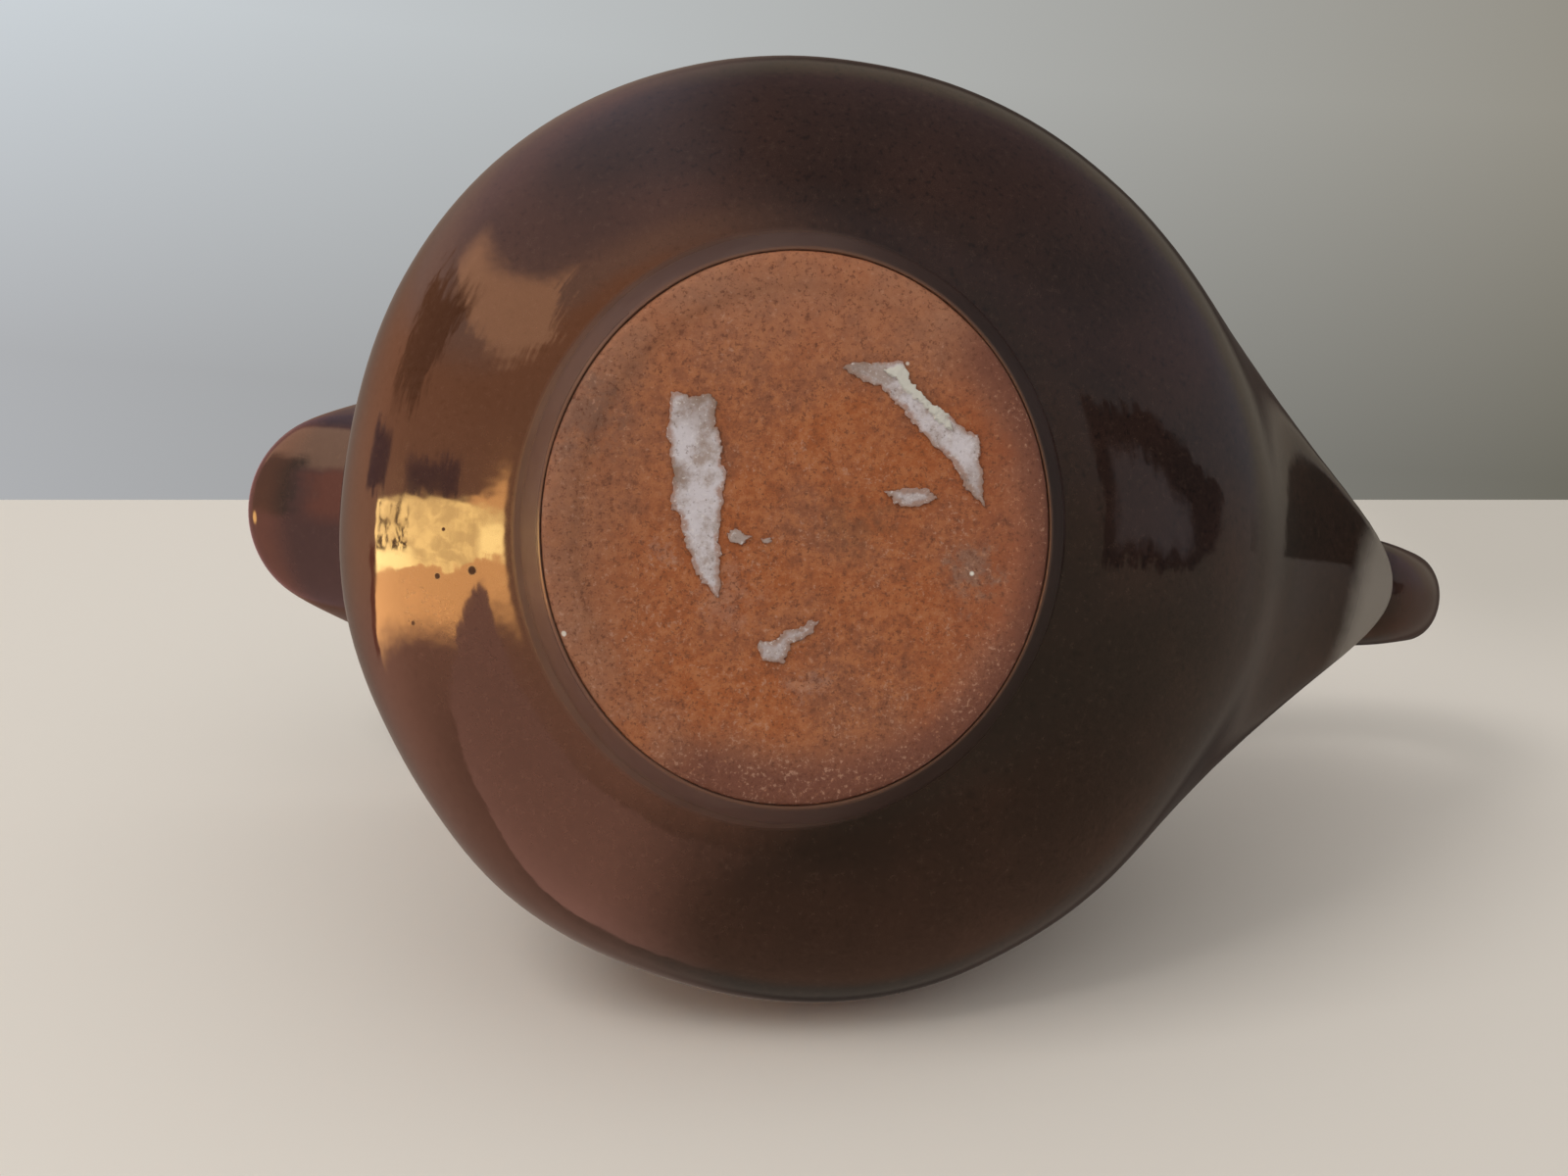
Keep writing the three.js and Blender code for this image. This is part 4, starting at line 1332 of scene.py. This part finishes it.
def mirrored_room(direction):
    """What the glaze mirrors: a warm lit side beyond the lip, a dim one beyond the handle."""
    x, y, z = sides(direction)
    jagged = uneven(direction, 24, 10, 24)
    lit_side = fade(x - abs(y) * 0.4, -0.4, 0.0)
    return blend(lit_side, dim_side(x, y, z, jagged), warm_side(direction, x, y, z, jagged))


# The pale wall that the camera sees: its tones at the left and the right, low and high, and behind, darker
# at the right and low down as painted shade
WALL_LOW = ((0.43, 0.44, 0.457), (0.15, 0.143, 0.115))
WALL_HIGH = ((0.61, 0.655, 0.69), (0.28, 0.26, 0.215))
WALL_BEHIND = (0.5, 0.5, 0.49)
EVEN_LIGHT = (0.62, 0.61, 0.59)


def build_world():
    """Camera sees a pale wall, gloss sees the room, and the rest is even light."""
    world = bpy.data.worlds.new("room")
    bpy.context.scene.world = world
    world.use_nodes = True
    tree = world.node_tree
    tree.nodes.clear()
    direction = read(tree, "ShaderNodeTexCoord", "Generated")
    x, y, z = sides(direction)
    rightward = fade(x, 0.17, -0.42, smooth=False)
    upward = fade(y, 0.07, 0.2, smooth=False)
    wall = blend(upward, blend(rightward, *WALL_LOW), blend(rightward, *WALL_HIGH))
    wall = blend(fade(z, 0.85, 0.6), wall, WALL_BEHIND)
    path = add_node(tree, "ShaderNodeLightPath").outputs
    colour = blend(Value(path["Is Glossy Ray"]), EVEN_LIGHT, mirrored_room(direction))
    colour = blend(Value(path["Is Camera Ray"]), colour, wall)
    background = read(tree, "ShaderNodeBackground", 0, {"Color": colour})
    add_node(tree, "ShaderNodeOutputWorld", {"Surface": background})


# The object, piece by piece

GLAZED_NODES = ("vessel_wall", "pouring_lip", "handle")
PAPER_NODES = [name for name in sorted(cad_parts) if name.startswith("label_")]

brown_glaze = make_brown_glaze()
red_clay = make_red_clay()
label_paper = make_label_paper()

pot = build_glazed_pot()
set_material(pot, brown_glaze)
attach(pot, "root")
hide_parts(*GLAZED_NODES)

foot = build_bare_foot()
set_material(foot, red_clay)
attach(foot, "root")
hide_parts("foot_disc")

for name in PAPER_NODES:
    scrap = build_paper(name)
    set_material(scrap, label_paper)
    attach(scrap, "root")
    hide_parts(name)

build_camera()
build_stage(pot)
for lamp in LAMPS:
    add_lamp(*lamp)
build_world()
bpy.context.scene.view_settings.view_transform = "Standard"
